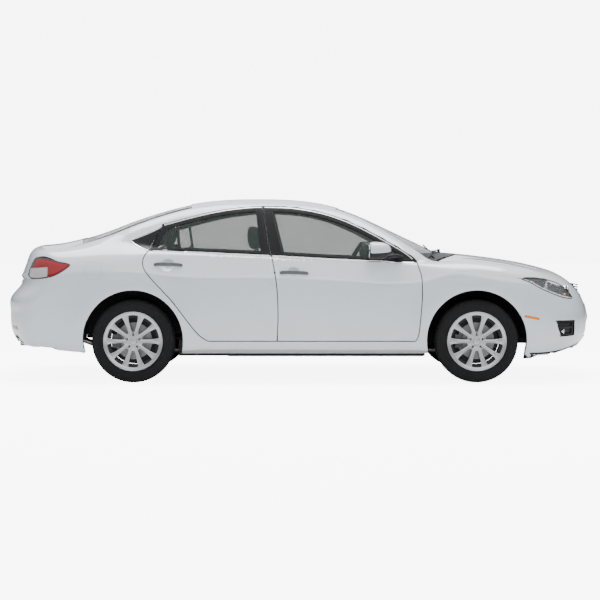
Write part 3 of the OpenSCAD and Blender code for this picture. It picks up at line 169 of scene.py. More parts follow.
class Materials:
    """Makes each finish's material once."""

    def __init__(self) -> None:
        self._made: dict[str, bpy.types.Material] = {}

    def get(self, finish: Finish) -> bpy.types.Material:
        """The material of a finish.

        Args:
            finish: The look that is wanted.

        Returns:
            A procedural material, in the piece's own coordinates.
        """
        if finish.name not in self._made:
            self._made[finish.name] = self._make(finish)
        return self._made[finish.name]

    def _make(self, finish: Finish) -> bpy.types.Material:
        material = bpy.data.materials.new(finish.name)
        material.use_nodes = True
        nodes, links = material.node_tree.nodes, material.node_tree.links
        shader = nodes["Principled BSDF"]
        shader.inputs["Base Color"].default_value = (*finish.colour, 1.0)
        shader.inputs["Metallic"].default_value = finish.metallic
        shader.inputs["Alpha"].default_value = finish.alpha
        shader.inputs["Coat Weight"].default_value = finish.coat
        shader.inputs["Specular IOR Level"].default_value = finish.shine
        shader.inputs["Coat Roughness"].default_value = 0.04
        shader.inputs["Roughness"].default_value = finish.roughness
        place = nodes.new("ShaderNodeTexCoord")
        height = self._grain(finish, nodes, links, place.outputs["Object"])
        bump = nodes.new("ShaderNodeBump")
        bump.inputs["Strength"].default_value = 1.0
        bump.inputs["Distance"].default_value = finish.relief
        links.new(height, bump.inputs["Height"])
        links.new(bump.outputs["Normal"], shader.inputs["Normal"])
        if finish.roughness > 0.2:
            spread = nodes.new("ShaderNodeMapRange")
            spread.inputs["To Min"].default_value = finish.roughness * 0.88
            spread.inputs["To Max"].default_value = min(finish.roughness * 1.12, 1.0)
            blotch = nodes.new("ShaderNodeTexNoise")
            blotch.inputs["Scale"].default_value = 9.0
            links.new(place.outputs["Object"], blotch.inputs["Vector"])
            links.new(blotch.outputs["Fac"], spread.inputs["Value"])
            links.new(spread.outputs["Result"], shader.inputs["Roughness"])
        return material

    def _grain(self, finish: Finish, nodes: bpy.types.Nodes, links: bpy.types.NodeLinks,
               place: bpy.types.NodeSocket) -> bpy.types.NodeSocket:
        """Adds the texture of a finish's relief.

        Args:
            finish: The look that is wanted.
            nodes: Nodes of the material.
            links: Links of the material.
            place: Socket with the coordinates.

        Returns:
            The socket with the height.
        """
        if finish.grain is Grain.WEAVE:
            waves = []
            for direction in ("X", "Z"):
                wave = nodes.new("ShaderNodeTexWave")
                wave.bands_direction = direction
                wave.inputs["Scale"].default_value = finish.scale / 6.3
                links.new(place, wave.inputs["Vector"])
                waves.append(wave)
            both = nodes.new("ShaderNodeMath")
            both.operation = "MULTIPLY"
            links.new(waves[0].outputs["Fac"], both.inputs[0])
            links.new(waves[1].outputs["Fac"], both.inputs[1])
            return both.outputs["Value"]
        if finish.grain is Grain.RIBBED:
            wave = nodes.new("ShaderNodeTexWave")
            wave.bands_direction = "Z"
            wave.inputs["Scale"].default_value = finish.scale / 6.3
            links.new(place, wave.inputs["Vector"])
            return wave.outputs["Fac"]
        if finish.grain is Grain.LEATHER:
            cells = nodes.new("ShaderNodeTexVoronoi")
            cells.inputs["Scale"].default_value = finish.scale
            links.new(place, cells.inputs["Vector"])
            return cells.outputs["Distance"]
        noise = nodes.new("ShaderNodeTexNoise")
        noise.inputs["Scale"].default_value = finish.scale
        noise.inputs["Detail"].default_value = 3.0 if finish.grain is Grain.CAST else 1.0
        links.new(place, noise.inputs["Vector"])
        return noise.outputs["Fac"]


MATERIALS = Materials()


# ---- The body's lines, in millimetres ----
AXLES = {"front": 1435.0, "rear": -1355.0}
HALF_TRACK, TYRE_RADIUS = 785.0, 338.0
ARCH_HEIGHT, ARCH_RADIUS, FLARE = 345, 440, 15
CABIN_FOOT, CABIN_TALL, CABIN_LEAN = 1029, 396, 0.514
UNDERSIDE, CABIN_FROM = 190, 850
CURVES: dict[str, list[tuple[float, float]]] = {
    "roof_line": [(-2460, 760), (-2150, 980), (-1911, 1118), (-1824, 1160), (-1737, 1199), (-1564, 1275),
        (-1390, 1341), (-1216, 1398), (-1042, 1446), (-869, 1481), (-608, 1507), (-350, 1512),
        (-174, 1510), (0, 1499), (174, 1474), (347, 1430), (521, 1365), (695, 1285), (869, 1203),
        (1042, 1121), (1200, 1042), (1400, 940), (1800, 700), (2460, 300)],
    "roof_crown": [(-2100, 80), (-1800, 72), (-1400, 58), (-1000, 48), (-600, 44), (0, 42), (400, 38),
        (650, 45), (900, 62), (1150, 84), (1400, 100)],
    "deck_line": [(-2460, 1040), (-2293, 1110), (-2172, 1122), (-1998, 1129), (-1850, 1133), (-1600, 1150),
        (-1223, 1162), (-989, 1154), (-646, 1139), (-233, 1120), (182, 1097), (556, 1079), (930, 1062),
        (1129, 1058), (1390, 1039), (1564, 1019), (1737, 995), (1911, 964), (2085, 920), (2172, 893),
        (2259, 858), (2346, 812), (2460, 730)],
    "deck_crown": [(-2460, 60), (-1900, 62), (-1400, 78), (-1223, 85), (930, 86), (1100, 86), (1435, 62),
        (1700, 66), (2000, 80), (2460, 110)],
    "shoulder_width": [(-2460, 780), (-2300, 822), (-2100, 858), (-1900, 882), (-1700, 897), (-1355, 902),
        (-950, 904), (-231, 908), (324, 908), (809, 903), (1100, 898), (1435, 896), (1700, 886),
        (1900, 866), (2100, 832), (2300, 780), (2460, 700)],
    "shoulder_height": [(-2460, 800), (-2100, 850), (-1700, 880), (-1350, 890), (-955, 845), (-243, 834),
        (324, 811), (809, 785), (1000, 805), (1200, 865), (1435, 905), (1700, 880), (1900, 810),
        (2100, 740), (2460, 640)],
    "cabin_width": [(-2150, 640), (-1850, 695), (-1650, 730), (-1379, 768), (-1223, 784), (-989, 803),
        (-646, 820), (-231, 828), (182, 828), (556, 818), (930, 790), (1100, 762), (1250, 730),
        (1400, 690)],
    "nose_line": [(180, 2290), (278, 2385), (369, 2446), (467, 2460), (560, 2450), (629, 2430),
        (700, 2404), (760, 2374), (833, 2318), (920, 2230)],
    "tail_line": [(180, -2330), (313, -2400), (361, -2430), (410, -2448), (556, -2460), (694, -2450),
        (727, -2424), (784, -2374), (841, -2352), (938, -2334), (1044, -2302), (1093, -2284),
        (1160, -2230)],
    "shoulder_blend": [(-2460, 90), (-1500, 110), (-1200, 50), (-900, 22), (930, 22), (1150, 60),
        (1435, 110), (2460, 110)],
    "cabin_blend": [(-2200, 150), (-1550, 130), (-1300, 60), (-1050, 12), (900, 12), (1100, 26),
        (1400, 40)],
}


class Curve:
    """A smooth curve through knots, level beyond its ends."""

    def __init__(self, knots: Sequence[Point2]) -> None:
        x, y = (np.array(v, float) for v in zip(*knots))
        gap, rise = np.diff(x), np.diff(y) / np.diff(x)
        slope = np.empty_like(x)
        slope[0], slope[-1] = rise[0], rise[-1]
        slope[1:-1] = (rise[1:] * gap[:-1] + rise[:-1] * gap[1:]) / (gap[:-1] + gap[1:])
        self.x, self.y, self.gap, self.slope = x, y, gap, slope

    def __call__(self, at: np.ndarray) -> np.ndarray:
        at = np.clip(at, self.x[0], self.x[-1])
        i = np.clip(np.searchsorted(self.x, at, side="right") - 1, 0, len(self.gap) - 1)
        t, h = (at - self.x[i]) / self.gap[i], self.gap[i]
        return ((2 * t**3 - 3 * t**2 + 1) * self.y[i] + (t**3 - 2 * t**2 + t) * h * self.slope[i]
                + (3 * t**2 - 2 * t**3) * self.y[i + 1] + (t**3 - t**2) * h * self.slope[i + 1])


def soft_min(a: np.ndarray, b: np.ndarray, k: np.ndarray) -> np.ndarray:
    """Blended minimum of a and b, over a width k."""
    h = np.maximum(k - np.abs(a - b), 0) / k
    return np.minimum(a, b) - h * h * k / 4


def soft_max(a: np.ndarray, b: np.ndarray, k: np.ndarray) -> np.ndarray:
    """Blended maximum of a and b, over a width k."""
    return -soft_min(-a, -b, k)


def bell(t: np.ndarray) -> np.ndarray:
    """A bell curve of height 1."""
    return np.exp(-t * t)


@dataclass(frozen=True)
class Dent:
    """A round hollow in the side of the body, in millimetres.

    Args:
        x: Place along the car.
        z: Height.
        radius: Radius at which the hollow has nearly gone.
        depth: Depth at its middle.
    """

    x: float
    z: float
    radius: float
    depth: float

    def at(self, x: np.ndarray, z: np.ndarray) -> np.ndarray:
        """Depth of the hollow at points of the side."""
        r = np.hypot(x - self.x, z - self.z) / self.radius
        return self.depth * np.clip(1 - r**4, 0, 1) ** 2


HANDLE_PLACES = {"front": (-53.0, 891.0), "rear": (-1075.0, 957.0)}
DENTS = tuple(Dent(x, z - 2, 56.0, 17.0) for x, z in HANDLE_PLACES.values())


class BodyLines:
    """The car's outer surface as a field: negative inside, and about the distance in mm from the skin."""

    def __init__(self, dents: Iterable[Dent] = ()) -> None:
        self.c = {name: Curve(knots) for name, knots in CURVES.items()}
        self.dents = tuple(dents)

    def side_width(self, x: np.ndarray, z: np.ndarray) -> np.ndarray:
        """Half width of the body below the cabin."""
        s = self.c["shoulder_height"](x)
        up, down = z - s, s - z
        flare = sum(FLARE * bell((np.hypot(x - axle, z - ARCH_HEIGHT) - ARCH_RADIUS) / 110)
                    for axle in AXLES.values())
        return (self.c["shoulder_width"](x)
                - np.where(up > 40, 0.40 * (up - 20), np.where(up > 0, 0.005 * up * up, 0))
                - np.where(down > 0, 24 * (np.maximum(down, 0) / 500) ** 3, 0)
                - np.where(z < 330, 20 * ((330 - z) / 95) ** 2, 0) + flare)

    def value(self, p: np.ndarray) -> np.ndarray:
        """The field at points (n, 3)."""
        x, y, z = p[:, 0], np.abs(p[:, 1]), p[:, 2]
        c = self.c
        deck = (c["deck_line"](x) - c["deck_crown"](x) * (y / 800) ** 2.2
                + 14 * bell((y - 740) / 110) * bell((x - 1600) / 420))
        flank = soft_max(y - self.side_width(x, z), z - deck, c["shoulder_blend"](x))
        nose = soft_max(flank, x - c["nose_line"](z) + 360 * (y / 850) ** 2.6, 130.0)
        tail = soft_max(flank, c["tail_line"](z) + 235 * (y / 850) ** 3 - x, 90.0)
        lower = np.where(x > 0, nose, tail)
        u = (z - CABIN_FOOT) / CABIN_TALL
        cabin_side = c["cabin_width"](x) - CABIN_LEAN * (z - CABIN_FOOT) + 48 * u * (1 - u)
        roof = c["roof_line"](x) - c["roof_crown"](x) * (y / 600) ** 2
        cabin = soft_max(y - cabin_side, z - roof, 84.0)
        body = np.where(z < CABIN_FROM, lower, soft_min(lower, cabin, c["cabin_blend"](x)))
        for dent in self.dents:
            body = body + np.where(y > 500, dent.at(x, z), 0)
        return np.maximum(UNDERSIDE - z, body)

    def gradient(self, p: np.ndarray) -> np.ndarray:
        """Outward unit normals of the field at points (n, 3)."""
        step = 1.5
        g = np.stack([self.value(p + step * axis) - self.value(p - step * axis) for axis in np.eye(3)], 1)
        return g / np.maximum(np.linalg.norm(g, axis=1, keepdims=True), 1e-9)

    def settle(self, p: np.ndarray, depth: float | np.ndarray = 0.0) -> np.ndarray:
        """Moves points straight onto the surface at a depth under the skin."""
        p = p.copy()
        for _ in range(4):
            p -= (self.value(p) + depth)[:, None] * self.gradient(p)
        return p

    def hit(self, origin: np.ndarray, way: np.ndarray, depth: float = 0.0) -> np.ndarray:
        """Where rays from inside the car leave it.

        Args:
            origin: Starts of the rays (n, 3).
            way: Directions (3,) or (n, 3), of unit length.
            depth: Depth of the surface under the skin.

        Returns:
            Points on the surface (n, 3).
        """
        near, far = np.zeros(len(origin)), np.full(len(origin), 1500.0)
        for _ in range(26):
            middle = (near + far) / 2
            out = self.value(origin + middle[:, None] * way) + depth > 0
            far, near = np.where(out, middle, far), np.where(out, near, middle)
        return origin + ((near + far) / 2)[:, None] * way

    def on_side(self, xz: np.ndarray, side: Side = Side.RIGHT) -> np.ndarray:
        """Points of the side skin, from (x, z)."""
        start = np.stack([xz[:, 0], np.zeros(len(xz)), xz[:, 1]], 1)
        return self.hit(start, np.array([0.0, side.value, 0.0]))

    def on_top(self, xy: np.ndarray) -> np.ndarray:
        """Points of the top skin, from (x, y)."""
        start = np.stack([xy[:, 0], xy[:, 1], np.full(len(xy), 620.0)], 1)
        return self.hit(start, np.array([0.0, 0.0, 1.0]))

    def on_end(self, yz: np.ndarray, way: float) -> np.ndarray:
        """Points of the nose (way 1) or the tail (way -1), from (y, z)."""
        start = np.stack([np.full(len(yz), way * 1500.0), yz[:, 0], yz[:, 1]], 1)
        return self.hit(start, np.array([way, 0.0, 0.0]))


PLAIN = BodyLines()


# ---- Meshes ----
def smooth_line(points: np.ndarray | Sequence[Point2], steps: int = 4) -> np.ndarray:
    """A smooth open line through points, as part of the CAD draws it."""
    p = np.array(points, float)
    out = []
    for i in range(len(p) - 1):
        a, b, c, d = p[max(i - 1, 0)], p[i], p[i + 1], p[min(i + 2, len(p) - 1)]
        for t in np.arange(steps) / steps:
            out.append(0.5 * (2 * b + (c - a) * t + (2 * a - 5 * b + 4 * c - d) * t**2
                              + (3 * b - a - 3 * c + d) * t**3))
    return np.array(out + [p[-1]])


def smooth_loop(points: Sequence[Point2], steps: int) -> np.ndarray:
    """A smooth closed line through points."""
    return smooth_line([*points, points[0]], steps)[:-1]


def along(points: np.ndarray, pitch: float) -> np.ndarray:
    """The same line with points an equal pitch apart."""
    p = np.asarray(points, float)
    reach = np.concatenate([[0], np.cumsum(np.linalg.norm(np.diff(p, axis=0), axis=1))])
    at = np.linspace(0, reach[-1], max(int(round(reach[-1] / pitch)), 1) + 1)
    return np.stack([np.interp(at, reach, p[:, i]) for i in range(p.shape[1])], 1)


def inside(points: np.ndarray, loop: np.ndarray) -> np.ndarray:
    """Whether each 2D point is inside a closed loop."""
    x, y = points[:, 0][:, None], points[:, 1][:, None]
    a, b = loop, np.roll(loop, -1, axis=0)
    crosses = (a[:, 1] > y) != (b[:, 1] > y)
    with np.errstate(divide="ignore", invalid="ignore"):
        at = a[:, 0] + (y - a[:, 1]) * (b[:, 0] - a[:, 0]) / (b[:, 1] - a[:, 1])
    return (crosses & (x < at)).sum(1) % 2 == 1


def fill(outline: np.ndarray, pitch: float, holes: Sequence[np.ndarray] = ()) -> tuple[np.ndarray, list]:
    """Even triangles over a flat shape.

    Args:
        outline: Closed loop (n, 2).
        pitch: Distance between inner points.
        holes: Closed loops that are left out.

    Returns:
        The points (n, 2), and triangles turned anticlockwise.
    """
    loops = [np.asarray(outline, float), *[np.asarray(h, float) for h in holes]]
    points = np.concatenate(loops)
    edges, start = [], 0
    for loop in loops:
        edges += [(start + i, start + (i + 1) % len(loop)) for i in range(len(loop))]
        start += len(loop)
    low, high = points.min(0), points.max(0)
    xs = np.arange(low[0] + pitch / 2, high[0], pitch)
    ys = np.arange(low[1] + pitch / 2, high[1], pitch)
    grid = np.array([(x + (j % 2) * pitch / 2, y) for j, y in enumerate(ys) for x in xs])
    if len(grid):
        keep = inside(grid, loops[0])
        for hole in loops[1:]:
            keep &= ~inside(grid, hole)
        grid = grid[keep]
        if len(grid):
            near = np.array([np.min(np.hypot(*(points - g).T)) for g in grid])
            grid = grid[near > pitch * 0.55]
    everything = np.concatenate([points, grid]) if len(grid) else points
    v, _, faces, *_ = delaunay_2d_cdt([Vector(p) for p in everything], edges, [], 0, 1e-6)
    v = np.array([tuple(p) for p in v])
    middles = np.array([v[list(f)].mean(0) for f in faces])
    keep = inside(middles, loops[0])
    for hole in loops[1:]:
        keep &= ~inside(middles, hole)
    triangles = []
    for face, good in zip(faces, keep):
        if good:
            a, b, c = (v[i] for i in face)
            turn = (b[0] - a[0]) * (c[1] - a[1]) - (b[1] - a[1]) * (c[0] - a[0])
            if abs(turn) > 1e-9:
                triangles.append(tuple(face) if turn > 0 else tuple(reversed(face)))
    return v, triangles


def bands(rows: int, n: int) -> list[tuple[int, int, int, int]]:
    """Faces that join each ring of n points to the next ring."""
    return [(i * n + j, i * n + (j + 1) % n, (i + 1) * n + (j + 1) % n, (i + 1) * n + j)
            for i in range(rows - 1) for j in range(n)]


def ends(rows: int, n: int) -> list[tuple[int, ...]]:
    """Faces that close the first and the last ring of n points."""
    return [tuple(range(n)), tuple((rows - 1) * n + j for j in reversed(range(n)))]


@dataclass
class Draft:
    """A mesh being drawn, in millimetres.

    Args:
        points: Corners.
        faces: Faces, as indices of corners.
        looks: Index of each face's finish.
    """

    points: list = field(default_factory=list)
    faces: list = field(default_factory=list)
    looks: list = field(default_factory=list)

    def add(self, points: Iterable, faces: Iterable, look: int = 0) -> "Draft":
        """Adds points and the faces that join them."""
        start = len(self.points)
        self.points += [tuple(float(c) for c in p) for p in points]
        new = [tuple(start + i for i in f) for f in faces]
        self.faces += new
        self.looks += [look] * len(new)
        return self

    def merge(self, other: "Draft", matrix: Matrix | None = None, look: int | None = None) -> "Draft":
        """Adds a copy of another draft, moved by a matrix. A mirroring matrix turns its faces over."""
        points = other.points if matrix is None else [matrix @ Vector(p) for p in other.points]
        flip = matrix is not None and matrix.determinant() < 0
        start = len(self.points)
        self.points += [tuple(p) for p in points]
        for face, its in zip(other.faces, other.looks):
            turned = tuple(start + i for i in (reversed(face) if flip else face))
            self.faces.append(turned)
            self.looks.append(its if look is None else look)
        return self

    def mirrored(self) -> "Draft":
        """A copy on the car's other side."""
        return Draft().merge(self, Matrix.Scale(-1, 4, (0, 1, 0)))

    def lathe(self, profile: Sequence[Point2], steps: int = 48, look: int = 0) -> "Draft":
        """Turns a closed profile (radius, z) round the z axis. The profile runs anticlockwise."""
        n, points, place = len(profile), [], {}
        for i in range(steps):
            a = 2 * math.pi * i / steps
            for j, (r, z) in enumerate(profile):
                if i and r < 1e-6:
                    place[i, j] = place[0, j]
                else:
                    place[i, j] = len(points)
                    points.append((r * math.cos(a), r * math.sin(a), z))
        faces = []
        for i in range(steps):
            k = (i + 1) % steps
            for j in range(n):
                m = (j + 1) % n
                face = tuple(dict.fromkeys((place[i, j], place[k, j], place[k, m], place[i, m])))
                if len(face) > 2:
                    faces.append(face)
        return self.add(points, faces, look)

    def disc(self, radius: float, low: float, high: float, steps: int = 32, look: int = 0,
             edge: float = 1.0) -> "Draft":
        """A round plate with a small bevel on top."""
        return self.lathe([(0, low), (radius, low), (radius, high - edge), (radius - edge, high), (0, high)],
                          steps, look)

    def sweep(self, path: np.ndarray, normals: np.ndarray, profile: Sequence[Point2], look: int = 0,
              closed: bool = False) -> "Draft":
        """Runs a closed profile (sideways, outward) along a path.

        Args:
            path: Points of the path (n, 3).
            normals: Outward normals at them.
            profile: Section, anticlockwise seen along the path.
            look: Finish of the faces.
            closed: Whether the path joins up with its start.

        Returns:
            This draft.
        """
        ahead = np.roll(path, -1, 0) - np.roll(path, 1, 0) if closed else np.gradient(path, axis=0)
        ahead = ahead / np.linalg.norm(ahead, axis=1, keepdims=True)
        across = np.cross(ahead, normals)
        across /= np.maximum(np.linalg.norm(across, axis=1, keepdims=True), 1e-9)
        up = np.cross(across, ahead)
        n, m = len(profile), len(path)
        points = [path[i] + across[i] * a + up[i] * b for i in range(m) for a, b in profile]
        faces = []
        for i in range(m if closed else m - 1):
            k = (i + 1) % m
            faces += [(i * n + j, k * n + j, k * n + (j + 1) % n, i * n + (j + 1) % n) for j in range(n)]
        if not closed:
            faces += ends(m, n)
        return self.add(points, faces, look)

    def box(self, low: Sequence[float], high: Sequence[float], look: int = 0, bevel: float = 2.0) -> "Draft":
        """A block with bevelled edges."""
        bm = bmesh.new()
        bmesh.ops.create_cube(bm, size=1.0)
        size = [b - a for a, b in zip(low, high)]
        bmesh.ops.scale(bm, vec=size, verts=bm.verts)
        bmesh.ops.translate(bm, vec=[(a + b) / 2 for a, b in zip(low, high)], verts=bm.verts)
        if bevel:
            bmesh.ops.bevel(bm, geom=list(bm.edges), offset=min(bevel, min(size) * 0.45), segments=2,
                            profile=0.5, affect="EDGES")
        return self.take(bm, look)

    def prism(self, profile: Sequence[Point2], half: float, bevel: float, segments: int) -> "Draft":
        """A bevelled block that runs across the car, from its profile (x, z)."""
        bm = bmesh.new()
        n = len(profile)
        rows = [[bm.verts.new((x, y, z)) for x, z in profile] for y in (-half, half)]
        for j in range(n):
            bm.faces.new((rows[0][j], rows[0][(j + 1) % n], rows[1][(j + 1) % n], rows[1][j]))
        bm.faces.new(list(reversed(rows[0])))
        bm.faces.new(rows[1])
        bmesh.ops.recalc_face_normals(bm, faces=bm.faces)
        bmesh.ops.bevel(bm, geom=list(bm.edges), offset=bevel, segments=segments, profile=0.5, affect="EDGES")
        return self.take(bm)

    def take(self, bm: bmesh.types.BMesh, look: int | None = 0) -> "Draft":
        """Adds what a bmesh holds and frees it. Without a look, its own material numbers stay."""
        bm.verts.index_update()
        start = len(self.points)
        self.points += [tuple(v.co) for v in bm.verts]
        for f in bm.faces:
            self.faces.append(tuple(start + v.index for v in f.verts))
            self.looks.append(f.material_index if look is None else look)
        bm.free()
        return self

    def show(self, name: str, body: str, finishes: Sequence[Finish], smooth: float | None = 35.0,
             normals: np.ndarray | None = None) -> bpy.types.Object:
        """Makes the object, at the origin, riding on a CAD body.

        Args:
            name: Name of the piece.
            body: CAD body that it moves with.
            finishes: Finishes, by the faces' look numbers.
            smooth: Sharpest angle in degrees that is shaded round, or None for flat faces.
            normals: Normals of the face corners, if they are known.

        Returns:
            The new object.
        """
        mesh = bpy.data.meshes.new(name)
        mesh.from_pydata([(x * MM, y * MM, z * MM) for x, y, z in self.points], [], self.faces)
        for finish in finishes:
            mesh.materials.append(MATERIALS.get(finish))
        mesh.polygons.foreach_set("material_index", self.looks)
        mesh.polygons.foreach_set("use_smooth", [smooth is not None] * len(self.faces))
        mesh.update()
        piece = bpy.data.objects.new(name, mesh)
        bpy.context.scene.collection.objects.link(piece)
        if normals is not None:
            mesh.normals_split_custom_set(normals)
        elif smooth is not None:
            mesh.set_sharp_from_angle(angle=math.radians(smooth))
        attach(piece, body)
        Report.count(piece)
        return piece


class Report:
    """Counts what the script adds."""

    triangles = 0
    pieces = 0

    @classmethod
    def count(cls, piece: bpy.types.Object) -> None:
        """Logs one piece and adds up its triangles."""
        n = sum(len(p.vertices) - 2 for p in piece.data.polygons)
        cls.triangles += n
        cls.pieces += 1
        log.info("%-34s %7d triangles", piece.name, n)


def round_section(width: float, height: float, lift: float = 0.0, steps: int = 3) -> list[Point2]:
    """A section with rounded upper corners, for trim strips lying on the skin."""
    r = min(width / 2, height) * 0.6
    top = []
    for sign, a0 in ((1, 0), (-1, 90)):
        for i in range(steps + 1):
            a = math.radians(a0 + 90 * i / steps)
            top.append((sign * (width / 2 - r) + r * math.cos(a), lift + height - r + r * math.sin(a)))
    return [(-width / 2, lift - 1.5), (width / 2, lift - 1.5), *top]


def circle(x: float, y: float, radius: float, steps: int = 32) -> np.ndarray:
    """Points round a circle, anticlockwise."""
    a = np.arange(steps) * 2 * math.pi / steps
    return np.stack([x + radius * np.cos(a), y + radius * np.sin(a)], 1)


def rectangle(low: Point2, high: Point2) -> np.ndarray:
    """Corners of a rectangle, anticlockwise from its lowest."""
    return np.array([low, (high[0], low[1]), high, (low[0], high[1])], float)


def squarish(step: int, steps: int, power: float, upright: float | None = None) -> tuple[float, float]:
    """A point of a unit ring that is drawn out towards a square.

    Args:
        step: Number of the point.
        steps: Number of points in the ring.
        power: 1 for a circle, less for a squarer ring.
        upright: The same for its second coordinate, if that differs.

    Returns:
        Its two coordinates.
    """
    a = 2 * math.pi * step / steps
    c, s = math.cos(a), math.sin(a)
    return math.copysign(abs(c) ** power, c), math.copysign(abs(s) ** (upright or power), s)


class Repeater:
    """Copies a unit mesh along a line or round the z axis with Geometry Nodes."""

    INPUTS = (("Geometry", "NodeSocketGeometry"), ("Count", "NodeSocketInt"), ("Turn", "NodeSocketFloat"),
              ("Step", "NodeSocketVector"), ("Jitter", "NodeSocketFloat"), ("Seed", "NodeSocketInt"),
              ("Finish", "NodeSocketMaterial"))

    def __init__(self) -> None:
        tree = bpy.data.node_groups.new("repeat_unit", "GeometryNodeTree")
        for name, kind in self.INPUTS:
            tree.interface.new_socket(name=name, in_out="INPUT", socket_type=kind)
        tree.interface.new_socket(name="Geometry", in_out="OUTPUT", socket_type="NodeSocketGeometry")
        nodes, links = tree.nodes, tree.links
        given, result = nodes.new("NodeGroupInput"), nodes.new("NodeGroupOutput")
        line = nodes.new("GeometryNodeMeshLine")
        links.new(given.outputs["Count"], line.inputs["Count"])
        links.new(given.outputs["Step"], line.inputs["Offset"])
        index, angle = nodes.new("GeometryNodeInputIndex"), nodes.new("ShaderNodeMath")
        angle.operation = "MULTIPLY"
        links.new(index.outputs["Index"], angle.inputs[0])
        links.new(given.outputs["Turn"], angle.inputs[1])
        turn = nodes.new("ShaderNodeCombineXYZ")
        links.new(angle.outputs["Value"], turn.inputs["Z"])
        low, high = nodes.new("ShaderNodeMath"), nodes.new("ShaderNodeMath")
        low.operation, high.operation = "SUBTRACT", "ADD"
        size = nodes.new("FunctionNodeRandomValue")
        for node, socket in ((low, size.inputs[2]), (high, size.inputs[3])):
            node.inputs[0].default_value = 1.0
            links.new(given.outputs["Jitter"], node.inputs[1])
            links.new(node.outputs["Value"], socket)
        links.new(given.outputs["Seed"], size.inputs["Seed"])
        copies = nodes.new("GeometryNodeInstanceOnPoints")
        links.new(line.outputs["Mesh"], copies.inputs["Points"])
        links.new(given.outputs["Geometry"], copies.inputs["Instance"])
        links.new(turn.outputs["Vector"], copies.inputs["Rotation"])
        links.new(size.outputs[1], copies.inputs["Scale"])
        real, paint = nodes.new("GeometryNodeRealizeInstances"), nodes.new("GeometryNodeSetMaterial")
        links.new(copies.outputs["Instances"], real.inputs["Geometry"])
        links.new(real.outputs["Geometry"], paint.inputs["Geometry"])
        links.new(given.outputs["Finish"], paint.inputs["Material"])
        links.new(paint.outputs["Geometry"], result.inputs["Geometry"])
        self.tree = tree

    def run(self, unit: Draft, finish: Finish, count: int, turn: float = 0.0,
            step: tuple[float, float, float] = (0.0, 0.0, 0.0), jitter: float = 0.0, seed: int = 3) -> Draft:
        """Repeats a unit.

        Args:
            unit: The mesh that is copied.
            finish: Finish of the copies.
            count: Number of copies.
            turn: Angle in degrees between copies, round the z axis.
            step: Offset in mm between copies.
            jitter: How far copies vary in size, as a share.
            seed: Seed of that variation.

        Returns:
            All copies as one draft.
        """
        mesh = bpy.data.meshes.new("unit")
        mesh.from_pydata(unit.points, [], unit.faces)
        holder = bpy.data.objects.new("unit", mesh)
        bpy.context.scene.collection.objects.link(holder)
        modifier = holder.modifiers.new("repeat", "NODES")
        modifier.node_group = self.tree
        given = {"Count": count, "Turn": math.radians(turn), "Step": step, "Jitter": jitter, "Seed": seed,
                 "Finish": MATERIALS.get(finish)}
        for item in self.tree.interface.items_tree:
            if item.in_out == "INPUT" and item.name in given:
                modifier[item.identifier] = given[item.name]
        depsgraph = bpy.context.evaluated_depsgraph_get()
        made = bpy.data.meshes.new_from_object(holder.evaluated_get(depsgraph))
        out = Draft().add([v.co for v in made.vertices], [tuple(p.vertices) for p in made.polygons])
        holder.modifiers.remove(modifier)
        bpy.data.objects.remove(holder)
        bpy.data.meshes.remove(mesh)
        bpy.data.meshes.remove(made)
        return out


REPEATER = Repeater()


# ---- Panels that follow the skin ----
Zone = Callable[[np.ndarray], np.ndarray]


